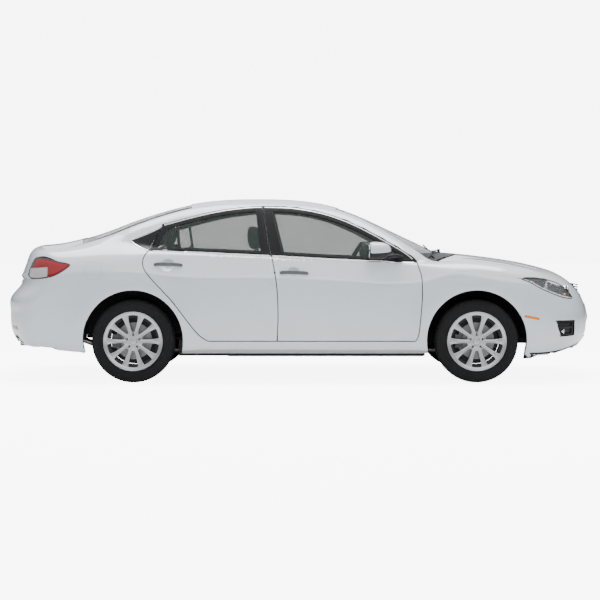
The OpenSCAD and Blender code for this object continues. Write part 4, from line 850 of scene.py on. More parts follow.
@dataclass
class Panel:
    """A panel of the CAD, made smooth: its outer faces are split finely and settled on the body's lines.

    Args:
        node: CAD node that it stands for.
        body: CAD body that it moves with.
        finishes: Finish of edges, then outer finishes by zone, with the inner face's last.
        depth: Depth of the outer face under the skin.
        inner_depth: Depth of the inner face, if that follows the skin too.
        pitch: Longest edge of the outer triangles.
        lines: The body's lines.
        cuts: Lines (x, z) that the mesh is cut along.
        zone: Finish number of outer faces from their middles.
        fittings: Places (x, z) where something stands on the CAD's skin that is left off here.
    """

    node: str
    body: str
    finishes: Sequence[Finish]
    depth: float = 0.0
    inner_depth: float | None = None
    pitch: float = 30.0
    lines: BodyLines = PLAIN
    cuts: Sequence[np.ndarray] = ()
    zone: Zone | None = None
    fittings: Sequence[Point2] = ()

    OUTER = 1
    INNER = 2
    FINEST = 8.0
    FAR = 40.0

    def build(self) -> bpy.types.Object:
        """Makes the piece in place of its CAD node."""
        bm = bmesh.new()
        bm.from_mesh(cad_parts[self.node].data)
        bmesh.ops.scale(bm, vec=[1 / MM] * 3, verts=bm.verts)
        bmesh.ops.remove_doubles(bm, verts=bm.verts, dist=0.02)
        bmesh.ops.dissolve_degenerate(bm, dist=0.01, edges=bm.edges)
        if self.fittings:
            self._clear(bm)
        self._mark(bm)
        self._split(bm)
        for line in self.cuts:
            self._cut(bm, line)
        self._settle(bm)
        normals = self._normals(bm)
        piece = Draft().take(bm, None).show(f"{self.node}.skin", self.body, self.finishes, normals=normals)
        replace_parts(piece, self.node)
        return piece

    @staticmethod
    def _middles(faces: Sequence[bmesh.types.BMFace]) -> np.ndarray:
        return np.array([f.calc_center_median() for f in faces]).reshape(-1, 3)

    def _clear(self, bm: bmesh.types.BMesh) -> None:
        """Takes off what stands on the skin, and closes the holes."""
        faces = list(bm.faces)
        middles = self._middles(faces)
        proud = PLAIN.value(middles) > 0.9
        near = np.zeros(len(faces), bool)
        for x, z in self.fittings:
            near |= (np.abs(middles[:, 0] - x) < 140) & (np.abs(middles[:, 2] - z) < 32)
        bmesh.ops.delete(bm, geom=[f for f, bad in zip(faces, proud & near) if bad], context="FACES")
        bmesh.ops.holes_fill(bm, edges=[e for e in bm.edges if e.is_boundary], sides=0)
        bmesh.ops.triangulate(bm, faces=[f for f in bm.faces if len(f.verts) > 3])

    def _mark(self, bm: bmesh.types.BMesh) -> None:
        """Numbers the faces: outer, inner, or edge (0)."""
        bm.normal_update()
        faces = list(bm.faces)
        middles = self._middles(faces)
        facing = np.sum(np.array([f.normal for f in faces]) * PLAIN.gradient(middles), 1)
        value = PLAIN.value(middles)
        reach = np.where(np.abs(middles[:, 0]) > 1700, self.FAR, 14.0)
        for f, turned, v, far in zip(faces, facing, value, reach):
            f.material_index = 0
            if turned > 0.4 and abs(v + self.depth) < far:
                f.material_index = self.OUTER
            elif turned < -0.5 and v < -self.depth:
                if self.inner_depth is None or abs(v + self.inner_depth) < far:
                    f.material_index = self.INNER

    def _fine(self, middle: Vector) -> float:
        """Longest edge wanted at a place."""
        for dent in self.lines.dents:
            if math.hypot(middle.x - dent.x, middle.z - dent.z) < dent.radius + 4:
                return self.FINEST
        return self.pitch

    def _split(self, bm: bmesh.types.BMesh) -> None:
        least = self.OUTER if self.inner_depth is None else self.INNER
        for _ in range(7):
            long = []
            for e in bm.edges:
                if any(self.OUTER <= f.material_index <= least for f in e.link_faces):
                    reach = e.calc_length()
                    if reach > self.FINEST and reach > self._fine((e.verts[0].co + e.verts[1].co) / 2):
                        long.append(e)
            if not long:
                return
            bmesh.ops.subdivide_edges(bm, edges=long, cuts=1)
            bmesh.ops.triangulate(bm, faces=[f for f in bm.faces if len(f.verts) > 3], ngon_method="BEAUTY")

    def _cut(self, bm: bmesh.types.BMesh, line: np.ndarray) -> None:
        """Cuts the outer faces along a line (x, z)."""
        for a, b in zip(line[:-1], line[1:]):
            low, high = np.minimum(a, b) - 4, np.maximum(a, b) + 4
            faces = []
            for f in bm.faces:
                if f.material_index == self.OUTER:
                    xs = [v.co.x for v in f.verts]
                    zs = [v.co.z for v in f.verts]
                    if max(xs) > low[0] and min(xs) < high[0] and max(zs) > low[1] and min(zs) < high[1]:
                        faces.append(f)
            if not faces:
                continue
            edges = {e for f in faces for e in f.edges}
            verts = {v for f in faces for v in f.verts}
            bmesh.ops.bisect_plane(bm, geom=[*verts, *edges, *faces], dist=0.05, plane_co=(a[0], 0, a[1]),
                                   plane_no=(-(b[1] - a[1]), 0, b[0] - a[0]))
        bmesh.ops.triangulate(bm, faces=[f for f in bm.faces if len(f.verts) > 3])

    def _settle(self, bm: bmesh.types.BMesh) -> None:
        for number, depth in ((self.INNER, self.inner_depth), (self.OUTER, self.depth)):
            if depth is None:
                continue
            verts = list({v for f in bm.faces if f.material_index == number for v in f.verts})
            if not verts:
                continue
            start = np.array([v.co for v in verts])
            end = self.lines.settle(start, depth)
            reach = np.linalg.norm(end - start, axis=1)
            for v, p, far in zip(verts, end, reach):
                if far < self.FAR:
                    v.co = p

    def _normals(self, bm: bmesh.types.BMesh) -> np.ndarray:
        """Corner normals, from the body's lines on outer faces. Also sets the finish numbers."""
        bm.normal_update()
        bm.verts.index_update()
        gradient = self.lines.gradient(np.array([v.co for v in bm.verts]))
        faces = list(bm.faces)
        looks = np.ones(len(faces), int)
        if self.zone:
            looks = self.zone(self._middles(faces))
        normals = []
        for f, look in zip(faces, looks):
            if f.material_index == self.OUTER:
                normals += [tuple(gradient[v.index]) for v in f.verts]
                f.material_index = int(look)
            elif f.material_index == self.INNER and self.inner_depth is not None:
                normals += [tuple(-gradient[v.index]) for v in f.verts]
                f.material_index = len(self.finishes) - 1
            else:
                inner = f.material_index == self.INNER
                normals += [tuple(f.normal)] * len(f.verts)
                f.material_index = len(self.finishes) - 1 if inner else 0
        return np.array(normals)


def slab(points: np.ndarray, triangles: list, normals: np.ndarray, top: float, bottom: float,
         tuck: float = 0.4) -> Draft:
    """A thin closed plate between two heights over the skin, its top edge tucked down a little."""
    ways: dict[tuple[int, int], int] = {}
    for t in triangles:
        for a, b in zip(t, (*t[1:], t[0])):
            ways[(a, b)] = 1
    rim = [(a, b) for a, b in ways if (b, a) not in ways]
    on_rim = {a for a, _ in rim}
    n = len(points)
    height = np.array([top - tuck if i in on_rim else top for i in range(n)])
    upper = points + normals * height[:, None]
    lower = points + normals * bottom
    faces = [*triangles, *(tuple(n + i for i in reversed(t)) for t in triangles),
             *((b, a, n + a, n + b) for a, b in rim)]
    return Draft().add([*upper, *lower], faces)


def side_patch(outline: np.ndarray, top: float, bottom: float, pitch: float = 18.0,
               holes: Sequence[np.ndarray] = (), tuck: float = 0.4, lines: BodyLines = PLAIN) -> Draft:
    """A plate on the right side, from its outline (x, z) run anticlockwise or clockwise."""
    v, triangles = fill(outline, pitch, holes)
    p = lines.on_side(v)
    return slab(p, triangles, lines.gradient(p), top, bottom, tuck)


def end_patch(outline: np.ndarray, way: int, top: float, bottom: float, pitch: float = 25.0,
              holes: Sequence[np.ndarray] = (), tuck: float = 0.4) -> Draft:
    """A plate on the nose (way 1) or tail (way -1), from its outline (y, z)."""
    v, triangles = fill(outline, pitch, holes)
    p = PLAIN.on_end(v, way)
    if way < 0:
        triangles = [tuple(reversed(t)) for t in triangles]
    return slab(p, triangles, PLAIN.gradient(p), top, bottom, tuck)


def side_strip(line: np.ndarray, width: float, height: float, lift: float = 0.0, pitch: float = 14.0,
               closed: bool = False, lines: BodyLines = PLAIN) -> Draft:
    """A trim strip along a line (x, z) on the right side."""
    path = along(np.vstack([line, line[:1]]) if closed else line, pitch)
    if closed:
        path = path[:-1]
    p = lines.on_side(path)
    return Draft().sweep(p, lines.gradient(p), round_section(width, height, lift), closed=closed)


def end_strip(line: np.ndarray, way: int, width: float, height: float, lift: float = 0.0) -> Draft:
    """A trim strip along a line (y, z) on the nose or tail."""
    p = PLAIN.on_end(along(line, 16.0), way)
    return Draft().sweep(p, PLAIN.gradient(p), round_section(width, height, lift))


# ---- Outlines, in millimetres ----
BELT = np.array([(-1379, 1150), (-1324, 1112), (-1223, 1071), (-989, 1063), (-646, 1048), (-233, 1029),
                 (182, 1006), (556, 988), (700, 982), (800, 978), (930, 975)], float)
WINDOW_TOP = np.array([(-1127, 1279), (-875, 1347), (-654, 1396), (-417, 1426), (-307, 1429), (-99, 1423),
                       (90, 1397), (279, 1347), (468, 1269), (658, 1169), (847, 1058), (940, 987)], float)
QUARTER = np.array([(-1146, 1258), (-1250, 1208), (-1385, 1154), (-1375, 1146), (-1324, 1112),
                    (-1238, 1082)], float)
HEADLAMP = [(1763, 848), (1912, 852), (2039, 835), (2143, 796), (2212, 740), (2258, 680), (2200, 677),
            (2120, 696), (1971, 756), (1855, 818)]
TAIL_LAMP = [(-2170, 1018), (-2078, 1013), (-1962, 985), (-1865, 960), (-1928, 902), (-2021, 858),
             (-2135, 841), (-2221, 847), (-2233, 902), (-2210, 957)]
FOG_BEZEL = [(2080, 499), (2250, 494), (2243, 384), (2120, 378)]
WHITE, DARK = 1, 2
MIRROR_Y = -983.0
DARK_BELOW = -0.18
GLASS_DEPTH, GLASS_BACK = 6.0, 12.0
BAND_WIDTH = 50.0
PLATE_SIZES = ((270, 64), (258, 55))
SIDEWAYS = Matrix.Rotation(math.radians(90), 4, "X")


def belt_height(x: np.ndarray) -> np.ndarray:
    """Height of the bottom edge of the windows' dark surround."""
    return np.interp(x, BELT[:, 0], BELT[:, 1])


def above_belt(middles: np.ndarray) -> np.ndarray:
    """Dark above the belt, paint below."""
    return np.where(middles[:, 2] > belt_height(middles[:, 0]), DARK, WHITE)


def between(line: np.ndarray, low: float, high: float) -> np.ndarray:
    """The part of a line (x, z) from one x to another."""
    line = line[np.argsort(line[:, 0])]
    keep = line[(line[:, 0] > low) & (line[:, 0] < high)]
    ends = [np.array([x, np.interp(x, line[:, 0], line[:, 1])]) for x in (low, high)]
    return np.vstack([ends[0], keep, ends[1]])


def smooth_between(line: np.ndarray, low: float, high: float) -> np.ndarray:
    """The same part, smoothed."""
    return smooth_line(between(line, low, high), 4)


def inset(outline: np.ndarray, width: float) -> np.ndarray:
    """A closed outline moved inward."""
    way = np.roll(outline, -1, 0) - np.roll(outline, 1, 0)
    way /= np.maximum(np.linalg.norm(way, axis=1, keepdims=True), 1e-9)
    after = np.roll(outline, -1, 0)
    turn = np.sign(np.sum(outline[:, 0] * after[:, 1] - after[:, 0] * outline[:, 1]))
    return outline + np.stack([-way[:, 1], way[:, 0]], 1) * width * turn


def both(name: str, body: str, draft: Draft, finishes: Sequence[Finish], smooth: float = 35.0,
         replaces: Sequence[str] = ()) -> list[bpy.types.Object]:
    """Shows a right-hand draft and its mirror image.

    Args:
        name: Name of the piece, without the side.
        body: CAD body, with {} for the side's word.
        draft: The right-hand piece.
        finishes: Its finishes.
        smooth: Sharpest angle that is shaded round.
        replaces: CAD nodes it stands for, with {} for the side's word.

    Returns:
        The right and the left piece.
    """
    made = []
    for side, its in ((Side.RIGHT, draft), (Side.LEFT, draft.mirrored())):
        piece = its.show(f"{side.word}_{name}", body.format(side.word), finishes, smooth)
        if replaces:
            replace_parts(piece, *[node.format(side.word) for node in replaces])
        made.append(piece)
    return made


class BodyShell:
    """The painted panels fixed to the body, with their trim."""

    name = "body shell"

    def build(self) -> None:
        """Makes every fixed panel."""
        for side in Side:
            for part in ("body_side", "front_fender"):
                Panel(f"{side.word}_{part}", "body", (INNER, PAINT, UNDER)).build()
        Panel("roof_panel", "body", (INNER, PAINT, TRIM_PALE), pitch=40.0).build()
        Panel("cowl_panel", "body", (BLACK, BLACK, BLACK)).build()
        for end in ("front", "rear"):
            Panel(f"{end}_bumper", "body", (BLACK, PAINT, BLACK), pitch=24.0).build()
        self._lip()
        self._quarter_trim()
        self._fuel_flap()
        self._markers()
        self._plates()

    @staticmethod
    def _lip() -> None:
        """Strips along both bumpers' lower edges, dark in front, and a dark notch at the rear corners."""
        line = smooth_line([(1872, 235), (2000, 237), (2131, 250), (2230, 272), (2292, 287), (2335, 302)], 4)
        both("front_lip", "body", side_strip(line, 20, 7.0, -5.0), (BLACK,))
        line = smooth_line([(-1745, 262), (-1950, 285), (-2186, 313), (-2330, 340)], 4)
        both("rear_lip", "body", side_strip(line, 18, 4.0, -3.0), (PAINT,))
        notch = np.array([(-2392, 368), (-2340, 360), (-2290, 342), (-2232, 324), (-2280, 316),
                          (-2392, 340)], float)
        both("rear_notch", "body", side_patch(notch, 1.0, -6.0, 16.0), (BLACK,))

    @staticmethod
    def _quarter_trim() -> None:
        """Dark triangle behind the rear door, with bright strips over and under it."""
        outline = np.vstack([smooth_line(part, 5) for part in (QUARTER[:3], QUARTER[3:])])
        both("quarter_trim", "body", side_patch(outline, 1.6, -1.0, 14.0), (GLOSS,))
        over = smooth_line([(-1137, 1273), (-1250, 1220), (-1396, 1156)], 5)
        under = smooth_line([(-1390, 1149), (-1324, 1108), (-1236, 1073)], 5)
        strips = side_strip(over, 11, 3.2, 0.4).merge(side_strip(under, 11, 3.2, 0.4))
        both("quarter_strips", "body", strips, (BRIGHT,))

    @staticmethod
    def _fuel_flap() -> None:
        """Round flap in the right rear quarter."""
        x, z, radius = -1677, 908, 69
        # A thin raised grey ring round the flap: painted shade in place of the flap's gap.
        gap_shade = side_strip(circle(x, z, radius + 2, 56), 2.2, 0.5, 0.0, 8.0, closed=True)
        gap_shade.show("fuel_flap_groove", "body", (SHUT_SHADE,))
        flap = side_patch(circle(x, z, radius, 56), 0.9, -1.0, 12.0, tuck=0.5)
        flap.show("fuel_flap", "body", (PAINT,))

    @staticmethod
    def _markers() -> None:
        """Side markers on the front bumper and reflectors at the rear."""
        outline = np.array([(1822, 533), (1940, 509), (1946, 520), (1940, 529), (1828, 553),
                            (1818, 545)], float)
        both("front_marker_frame", "body", side_patch(outline, 0.8, -1.0, 10.0), (LAMP_RIM,))
        middle = outline.mean(0)
        marker = side_patch(middle + (outline - middle) * 0.96, 2.4, 0.2, 10.0, tuck=0.8)
        both("front_marker", "body", marker, (AMBER,))
        reflector = end_patch(rectangle((-700, 420), (-560, 452)), -1, 2.6, -1.0, 20.0, tuck=0.8)
        both("rear_reflector", "body", reflector, (RED_LENS,))

    @staticmethod
    def _plates() -> None:
        """Blank number plates on dark carriers."""
        for way, z, name in ((1, 560, "front"), (-1, 610, "rear")):
            outer, inner = (rectangle((-wide, z - tall), (wide, z + tall)) for wide, tall in PLATE_SIZES)
            end_patch(outer, way, 4.0, -1.0, 40.0).show(f"{name}_plate_carrier", "body", (BLACK,))
            end_patch(inner, way, 6.0, 3.0, 40.0).show(f"{name}_plate", "body", (WHITE_PLATE,))


class Lids:
    """The hood and the boot lid."""

    name = "hood and boot lid"

    def build(self) -> None:
        """Makes both lids and what they carry."""
        Panel("hood", "hood", (INNER, PAINT, INNER), pitch=36.0).build()
        Panel("trunk_lid", "trunk_lid", (INNER, PAINT, INNER), pitch=30.0).build()
        line = np.array([(-420, 812), (-210, 817), (0, 819), (210, 817), (420, 812)], float)
        end_strip(line, -1, 26, 6, 0.4).show("trunk_lid_strip", "trunk_lid", (BRIGHT,))
        pad = end_patch(rectangle((-60, 786), (60, 800)), -1, 3.0, -1.0, 20.0)
        pad.show("trunk_lid_release", "trunk_lid", (BLACK,))


class Doors:
    """Four doors with their frames, handles, strips and windows."""

    name = "doors"

    def build(self) -> None:
        """Makes the doors of both sides."""
        for end, dent, low, high in (("front", DENTS[0], -298, 1022), ("rear", DENTS[1], -1322, -182)):
            for side in Side:
                door = f"{side.word}_{end}_door"
                Panel(door, door, (INNER, PAINT, DARK_SKIN, TRIM), lines=BodyLines([dent]),
                      cuts=[between(BELT, low, high)], zone=above_belt, fittings=[HANDLE_PLACES[end]]).build()
                Panel(f"{door}_glass", door, (FRIT, GLASS, GLASS), depth=GLASS_DEPTH, inner_depth=GLASS_BACK,
                      pitch=40.0).build()
            self._handle(end)
        self._strips()
        self._divider()
        self._mirrors()

    @staticmethod
    def _handle(end: str) -> None:
        """Grip over its hollow."""
        x, z = HANDLE_PLACES[end]
        middle, reach = x + 5, 117
        at = np.linspace(-1, 1, 25)
        p = PLAIN.on_side(np.stack([middle + at * reach, z - at * 3.0], 1))
        normals = PLAIN.gradient(p)
        rings, steps = [], 12
        for i, t in enumerate(at):
            lift = 15.5 - 13.5 * abs(t) ** 4
            half_height = 14.5 * (1 - 0.35 * abs(t) ** 6)
            half_thick = 5.8 * (1 - 0.45 * abs(t) ** 6)
            up = np.array([0, 0, 1.0])
            for k in range(steps):
                c, s = squarish(k, steps, 0.7)
                rings.append(p[i] + normals[i] * (lift + half_thick * c) + up * half_height * s)
        n = len(at)
        draft = Draft().add(rings, [*((a, d, c, b) for a, b, c, d in bands(n, steps)), *ends(n, steps)])
        for t in (-0.84, 0.84):
            base = PLAIN.on_side(np.array([[middle + t * reach, z]]))[0]
            post = Draft().box((-11, -9, -8), (11, 9, 8), bevel=2.5)
            draft.merge(post, Matrix.Translation(base + np.array([0, -1.5, 0])))
        both(f"{end}_door_handle", f"{{}}_{end}_door", draft, (HANDLE,), 50.0)
        if end == "front":
            lock = PLAIN.on_side(np.array([[x - 152.0, z + 4]]))[0]
            barrel = Draft().merge(Draft().disc(9, -2, 2.4, 24), Matrix.Translation(lock) @ SIDEWAYS)
            both("door_lock", "{}_front_door", barrel, (HANDLE,))

    @staticmethod
    def _strips() -> None:
        """Bright strips over the windows and along the belt, and the seals inside them."""
        for end, over, under in (("front", (-292, 918), (-222, 925)), ("rear", (-1118, -318), (-1200, -246))):
            top, belt = smooth_between(WINDOW_TOP, *over), smooth_between(BELT, *under)
            strips = side_strip(top, 9, 3.4, 0.2).merge(side_strip(belt, 12, 3.6, 0.2))
            seals = side_strip(top - np.array([0, 22.0]), 30, 6.6, -6.0)
            seals.merge(side_strip(belt + np.array([0, 17.0]), 20, 6.6, -6.0))
            both(f"{end}_window_strips", f"{{}}_{end}_door", strips, (BRIGHT,))
            both(f"{end}_window_seals", f"{{}}_{end}_door", seals, (SEAL,))

    @staticmethod
    def _divider() -> None:
        """Upright bar in the rear door's window."""
        line = np.array([(-1008, 1283), (-985, 1072)], float)
        both("rear_window_bar", "{}_rear_door", side_strip(line, 22, 7.0, -7.0), (BLACK,))

    @staticmethod
    def _mirrors() -> None:
        """Door mirrors: painted cap, dark lower half and stalk, glass to the rear."""
        rings, steps = [], 40
        stations = [(-1.0, 0.80), (-0.97, 0.90), (-0.86, 0.97), (-0.6, 1.0), (-0.2, 0.985), (0.2, 0.92),
                    (0.55, 0.78), (0.8, 0.56), (0.94, 0.32), (1.0, 0.08)]
        for t, r in stations:
            for k in range(steps):
                c, s = squarish(k, steps, 0.72, 0.76)
                lean = 8 * (1 - t) * 0.4 * math.cos(2 * math.pi * k / steps)
                height = (74 if s > 0 else 66) * s * r
                rings.append((646 + t * 88 - lean, MIRROR_Y + 92 * c * r, 1072 + height + t * 2))
        n = len(stations)
        draft = Draft().add(rings, [*((b, a, d, c) for a, b, c, d in bands(n, steps)), *ends(n, steps)])
        low = [int(math.sin(2 * math.pi * (k + 0.5) / steps) < DARK_BELOW) for k in range(steps)]
        draft.looks = [*low * (n - 1), 1, 0]
        both("mirror_housing", "{}_front_door", draft, (PAINT, BLACK), 40.0, replaces=["{}_mirror"])
        unit = [squarish(k, steps, 0.7, 0.74) for k in range(steps)]
        v, triangles = fill(np.array([(MIRROR_Y + 70 * c, 1071 + 53 * s) for c, s in unit]), 30.0)
        p = np.stack([np.full(len(v), 554.0), v[:, 0], v[:, 1]], 1)
        ways = np.tile([-1.0, 0, 0], (len(v), 1))
        glass = slab(p, [tuple(reversed(t)) for t in triangles], ways, 1.6, -3.0, 1.0)
        both("mirror_glass", "{}_front_door", glass, (CHROME,), 30.0)
        skin_y = -PLAIN.side_width(np.array([835.0]), np.array([1018.0]))[0]
        start, end = np.array([706, -925, 1028.0]), np.array([835, skin_y + 30, 1016])
        path = np.array([start + (end - start) * t + np.array([0, 0, 10 * math.sin(math.pi * t)])
                         for t in np.linspace(-0.05, 1.0, 9)])
        section = circle(0, 0, 1.0, 16) * (30, 17)
        stalk = Draft().sweep(path, np.tile([0, 0, 1.0], (len(path), 1)), section)
        corner = np.array([(790, 1052), (845, 1022), (915, 990), (790, 992)], float)
        sail = side_patch(corner, 7.0, -1.0, 14.0)
        both("mirror_stalk", "{}_front_door", stalk.merge(sail), (BLACK,), 50.0)


class Windows:
    """Windshield and rear window, with dark edges and wipers."""

    name = "windows"

    def build(self) -> None:
        """Makes the screens."""
        for node in ("windshield", "rear_window"):
            Panel(node, "body", (FRIT, DARK_GLASS, GLASS), depth=GLASS_DEPTH, inner_depth=GLASS_BACK,
                  pitch=45.0).build()
        self._bands()
        self._wipers()

    @staticmethod
    def _bands() -> None:
        """Dark bands round both screens."""
        front_base = [(1160, 0), (1135, 250), (1080, 480), (985, 708)]
        front_top = [(290, 562), (322, 300), (332, 0)]
        rear_top = [(-930, 0), (-925, 300), (-895, 570)]
        rear_base = [(-1790, 655), (-1815, 480), (-1838, 250), (-1846, 0)]
        wide = BAND_WIDTH / 2
        section = [(wide, -5.6), (wide, -6.6), (-wide, -6.6), (-wide, -5.6)]
        for name, half in (("windshield", (front_base, front_top)), ("rear_window", (rear_top, rear_base))):
            half_loop = np.vstack([smooth_line(part, 5) for part in half])
            loop = np.vstack([half_loop, (half_loop * np.array([1, -1]))[::-1]])
            middle = np.array([(half_loop[:, 0].min() + half_loop[:, 0].max()) / 2, 0.0])
            spread = np.linalg.norm(loop - middle, axis=1, keepdims=True)
            line = loop - (loop - middle) / spread * (wide + 1.5)
            p = PLAIN.on_top(along(np.vstack([line, line[:1]]), 22.0)[:-1])
            band = Draft().sweep(p, PLAIN.gradient(p), section, closed=True)
            band.show(f"{name}_band", "body", (FRIT,), 30.0)

    @staticmethod
    def _wipers() -> None:
        """Two wipers at rest along the cowl, each an arm and a blade."""
        draft = Draft()
        for start in (-140.0, 520.0):
            foot = PLAIN.on_top(np.array([(1190.0, start)]))[0]
            line = np.array([(1190, start), (1160, start - 110), (1105, start - 320)], float)
            p = PLAIN.on_top(along(line, 25.0))
            up = PLAIN.gradient(p)
            rise = 20 - 6 * np.linspace(0, 1, len(p))
            draft.sweep(p + up * rise[:, None], up, [(-6, -3), (6, -3), (5, 3), (-5, 3)])
            line = np.array([(1136, start - 70), (1105, start - 320), (1062, start - 545)], float)
            p = PLAIN.on_top(along(smooth_line(line, 6), 20.0))
            up = PLAIN.gradient(p)
            draft.sweep(p + up * 7.0, up, [(-2, -6.5), (2, -6.5), (4.5, 0), (3, 5), (-3, 5), (-4.5, 0)])
            draft.merge(Draft().disc(13, -4, 27, 24), Matrix.Translation(foot))
        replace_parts(draft.show("wipers.set", "body", (BLACK,), 40.0), "wipers")


def under_skin(x: float, z: float, depth: float) -> np.ndarray:
    """The point at a depth under the right side's skin."""
    return PLAIN.settle(PLAIN.on_side(np.array([[x, z]])), depth)[0]


def aimed(base: np.ndarray, outward: float, ahead: float) -> Matrix:
    """Places a lamp, its axis between the skin's normal and the nose.

    Args:
        base: Its place.
        outward: Share of the skin's normal.
        ahead: Share of the way to the nose.

    Returns:
        The matrix for a lamp drawn round the z axis.
    """
    way = Vector(PLAIN.gradient(base[None])[0]) * outward + Vector((ahead, 0, 0))
    return Matrix.Translation(base) @ way.to_track_quat("Z", "Y").to_matrix().to_4x4()


class Lamps:
    """Headlamps, tail lamps and fog lamps."""

    name = "lamps"

    def build(self) -> None:
        """Makes the lamps of both sides."""
        self._head(smooth_loop(HEADLAMP, 3))
        self._tail(smooth_loop(TAIL_LAMP, 3))
        self._fog(smooth_loop(FOG_BEZEL, 1))

    @staticmethod
    def _surround(outline: np.ndarray, width: float, lift: float) -> Draft:
        """A frame just inside a lamp's outline."""
        return side_patch(outline, lift, -30.0, 24.0, holes=[inset(outline, width)], tuck=0.3)

    def _head(self, outline: np.ndarray) -> None:
        middle = outline.mean(0)
        small = middle + (outline - middle) * np.array([0.975, 0.95])
        both("headlamp_frame", "body", self._surround(outline, 8.0, 0.9), (LAMP_RIM,))
        pieces = both("headlamp_lens", "body", side_patch(small, 0.0, -3.0, 16.0, tuck=0.3), (CLEAR,))
        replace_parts(pieces[0], "headlamps")
        bowl = side_patch(small, -34.0, -46.0, 18.0)
        wall = self._surround(outline, 5.0, -3.5)
        both("headlamp_bowl", "body", bowl.merge(wall, look=1), (BOWL, LAMP_RIM))
        bulbs = Draft()
        for x, z, radius in ((2110.0, 772.0, 40.0), (2010.0, 797.0, 36.0)):
            cup = Draft().lathe([(0, -4), (radius * 0.6, -2), (radius, 20), (radius - 2.5, 20),
                                 (radius * 0.5, 2), (0, 0)], 36)
            cup.lathe([(0, 0), (9, 0), (9, 12), (6, 17), (0, 18)], 20, look=1)
            bulbs.merge(cup, aimed(under_skin(x, z, 33.0), 0.45, 0.75))
        for x, z, depth, radius in ((1905.0, 826.0, 26.0, 13), (2192.0, 716.0, 24.0, 14)):
            amber = Draft().lathe([(0, -6), (radius, -6), (radius, 6), (8, 13), (0, 15)], 24, look=2)
            bulbs.merge(amber, Matrix.Translation(under_skin(x, z, depth)) @ SIDEWAYS)
        both("headlamp_reflectors", "body", bulbs, (CHROME, WHITE_PLATE, AMBER), 50.0)

    def _tail(self, outline: np.ndarray) -> None:
        both("tail_lamp_frame", "body", self._surround(outline, 9.0, 0.9), (TAIL_RIM,))
        small = inset(outline, 12.0)
        lens = side_patch(small, 1.6, -14.0, 9.0, tuck=0.8)
        for number, face in enumerate(lens.faces):
            x = sum(lens.points[i][0] for i in face) / len(face)
            z = sum(lens.points[i][2] for i in face) / len(face)
            lens.looks[number] = int(x < -2052 and z < 932 + (x + 2170) * 0.07)
        pieces = both("tail_lamp_lens", "body", lens, (RED_LENS, WHITE_LENS))
        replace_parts(pieces[0], "tail_lamps")
        line = np.array([(-2208, 929), (-2052, 941), (-2046, 868)], float)
        both("tail_lamp_web", "body", side_strip(line, 4, 2.6, 0.2, 8.0), (TAIL_RIM,))

    @staticmethod
    def _fog(outline: np.ndarray) -> None:
        back = side_patch(outline, -14.0, -24.0, 24.0)
        middle = outline.mean(0)
        inner = middle + (outline - middle) * np.array([0.88, 0.86])
        frame_part = side_patch(outline, 1.2, -16.0, 24.0, holes=[inner], tuck=0.8)
        across = np.array([(2104, 441), (2240, 438), (2240, 452), (2104, 455)], float)
        bar = side_patch(across, -1.0, -13.0, 16.0)
        both("fog_bezel", "body", back.merge(frame_part).merge(bar), (BLACK,))
        lamp = Draft().lathe([(0, -10), (22, -10), (22, 4), (19, 7), (0, 8)], 32)
        place = aimed(under_skin(2165.0, 412.0, 12.0), 0.6, 0.6)
        both("fog_lamp", "body", Draft().merge(lamp, place), (CHROME,))


class Grilles:
    """Upper and lower grille with even slats."""

    name = "grilles"
    SLATS = 5

    def build(self) -> None:
        """Makes both grilles in place of the CAD's."""
        slats = Draft()
        for low, high, half in ((694, 790, 335.0), (362, 476, 405.0)):
            pitch = (high - low) / self.SLATS
            z = low + pitch / 2
            path = PLAIN.on_end(along(np.array([(-half, z), (half, z)]), 30.0), 1)
            path[:, 2] = z
            normals = np.tile([1.0, 0, 0], (len(path), 1))
            section = [(-4, -9), (4, -9), (5, 6), (2, 9), (-3, 8)]
            slat = Draft().sweep(path - np.array([22.0, 0, 0]), normals, section)
            slats.merge(REPEATER.run(slat, BLACK, self.SLATS, step=(0.0, 0.0, pitch)))
        for y in (-250, -125, 0, 125, 250):
            for z, tall in ((740, 48), (418, 56)):
                x = PLAIN.on_end(np.array([(float(y), float(z))]), 1)[0][0]
                slats.merge(Draft().box((x - 42, y - 3, z - tall), (x - 26, y + 3, z + tall), bevel=1.0))
        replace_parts(slats.show("grille.slats", "body", (BLACK,), 40.0), "grille")
        back = Draft()
        for low, high, half in ((684, 774, 345.0), (352, 480, 425.0)):
            back.merge(end_patch(rectangle((-half, low), (half, high)), 1, -46.0, -50.0, 50.0))
        back.show("grille.mesh", "body", (SEAL,))
        line = np.array([(-352, 797), (-356, 790), (-326, 692), (326, 692), (356, 790), (352, 797)], float)
        end_strip(line, 1, 9, 3.4, -0.4).show("grille.frame", "body", (GLOSS,))


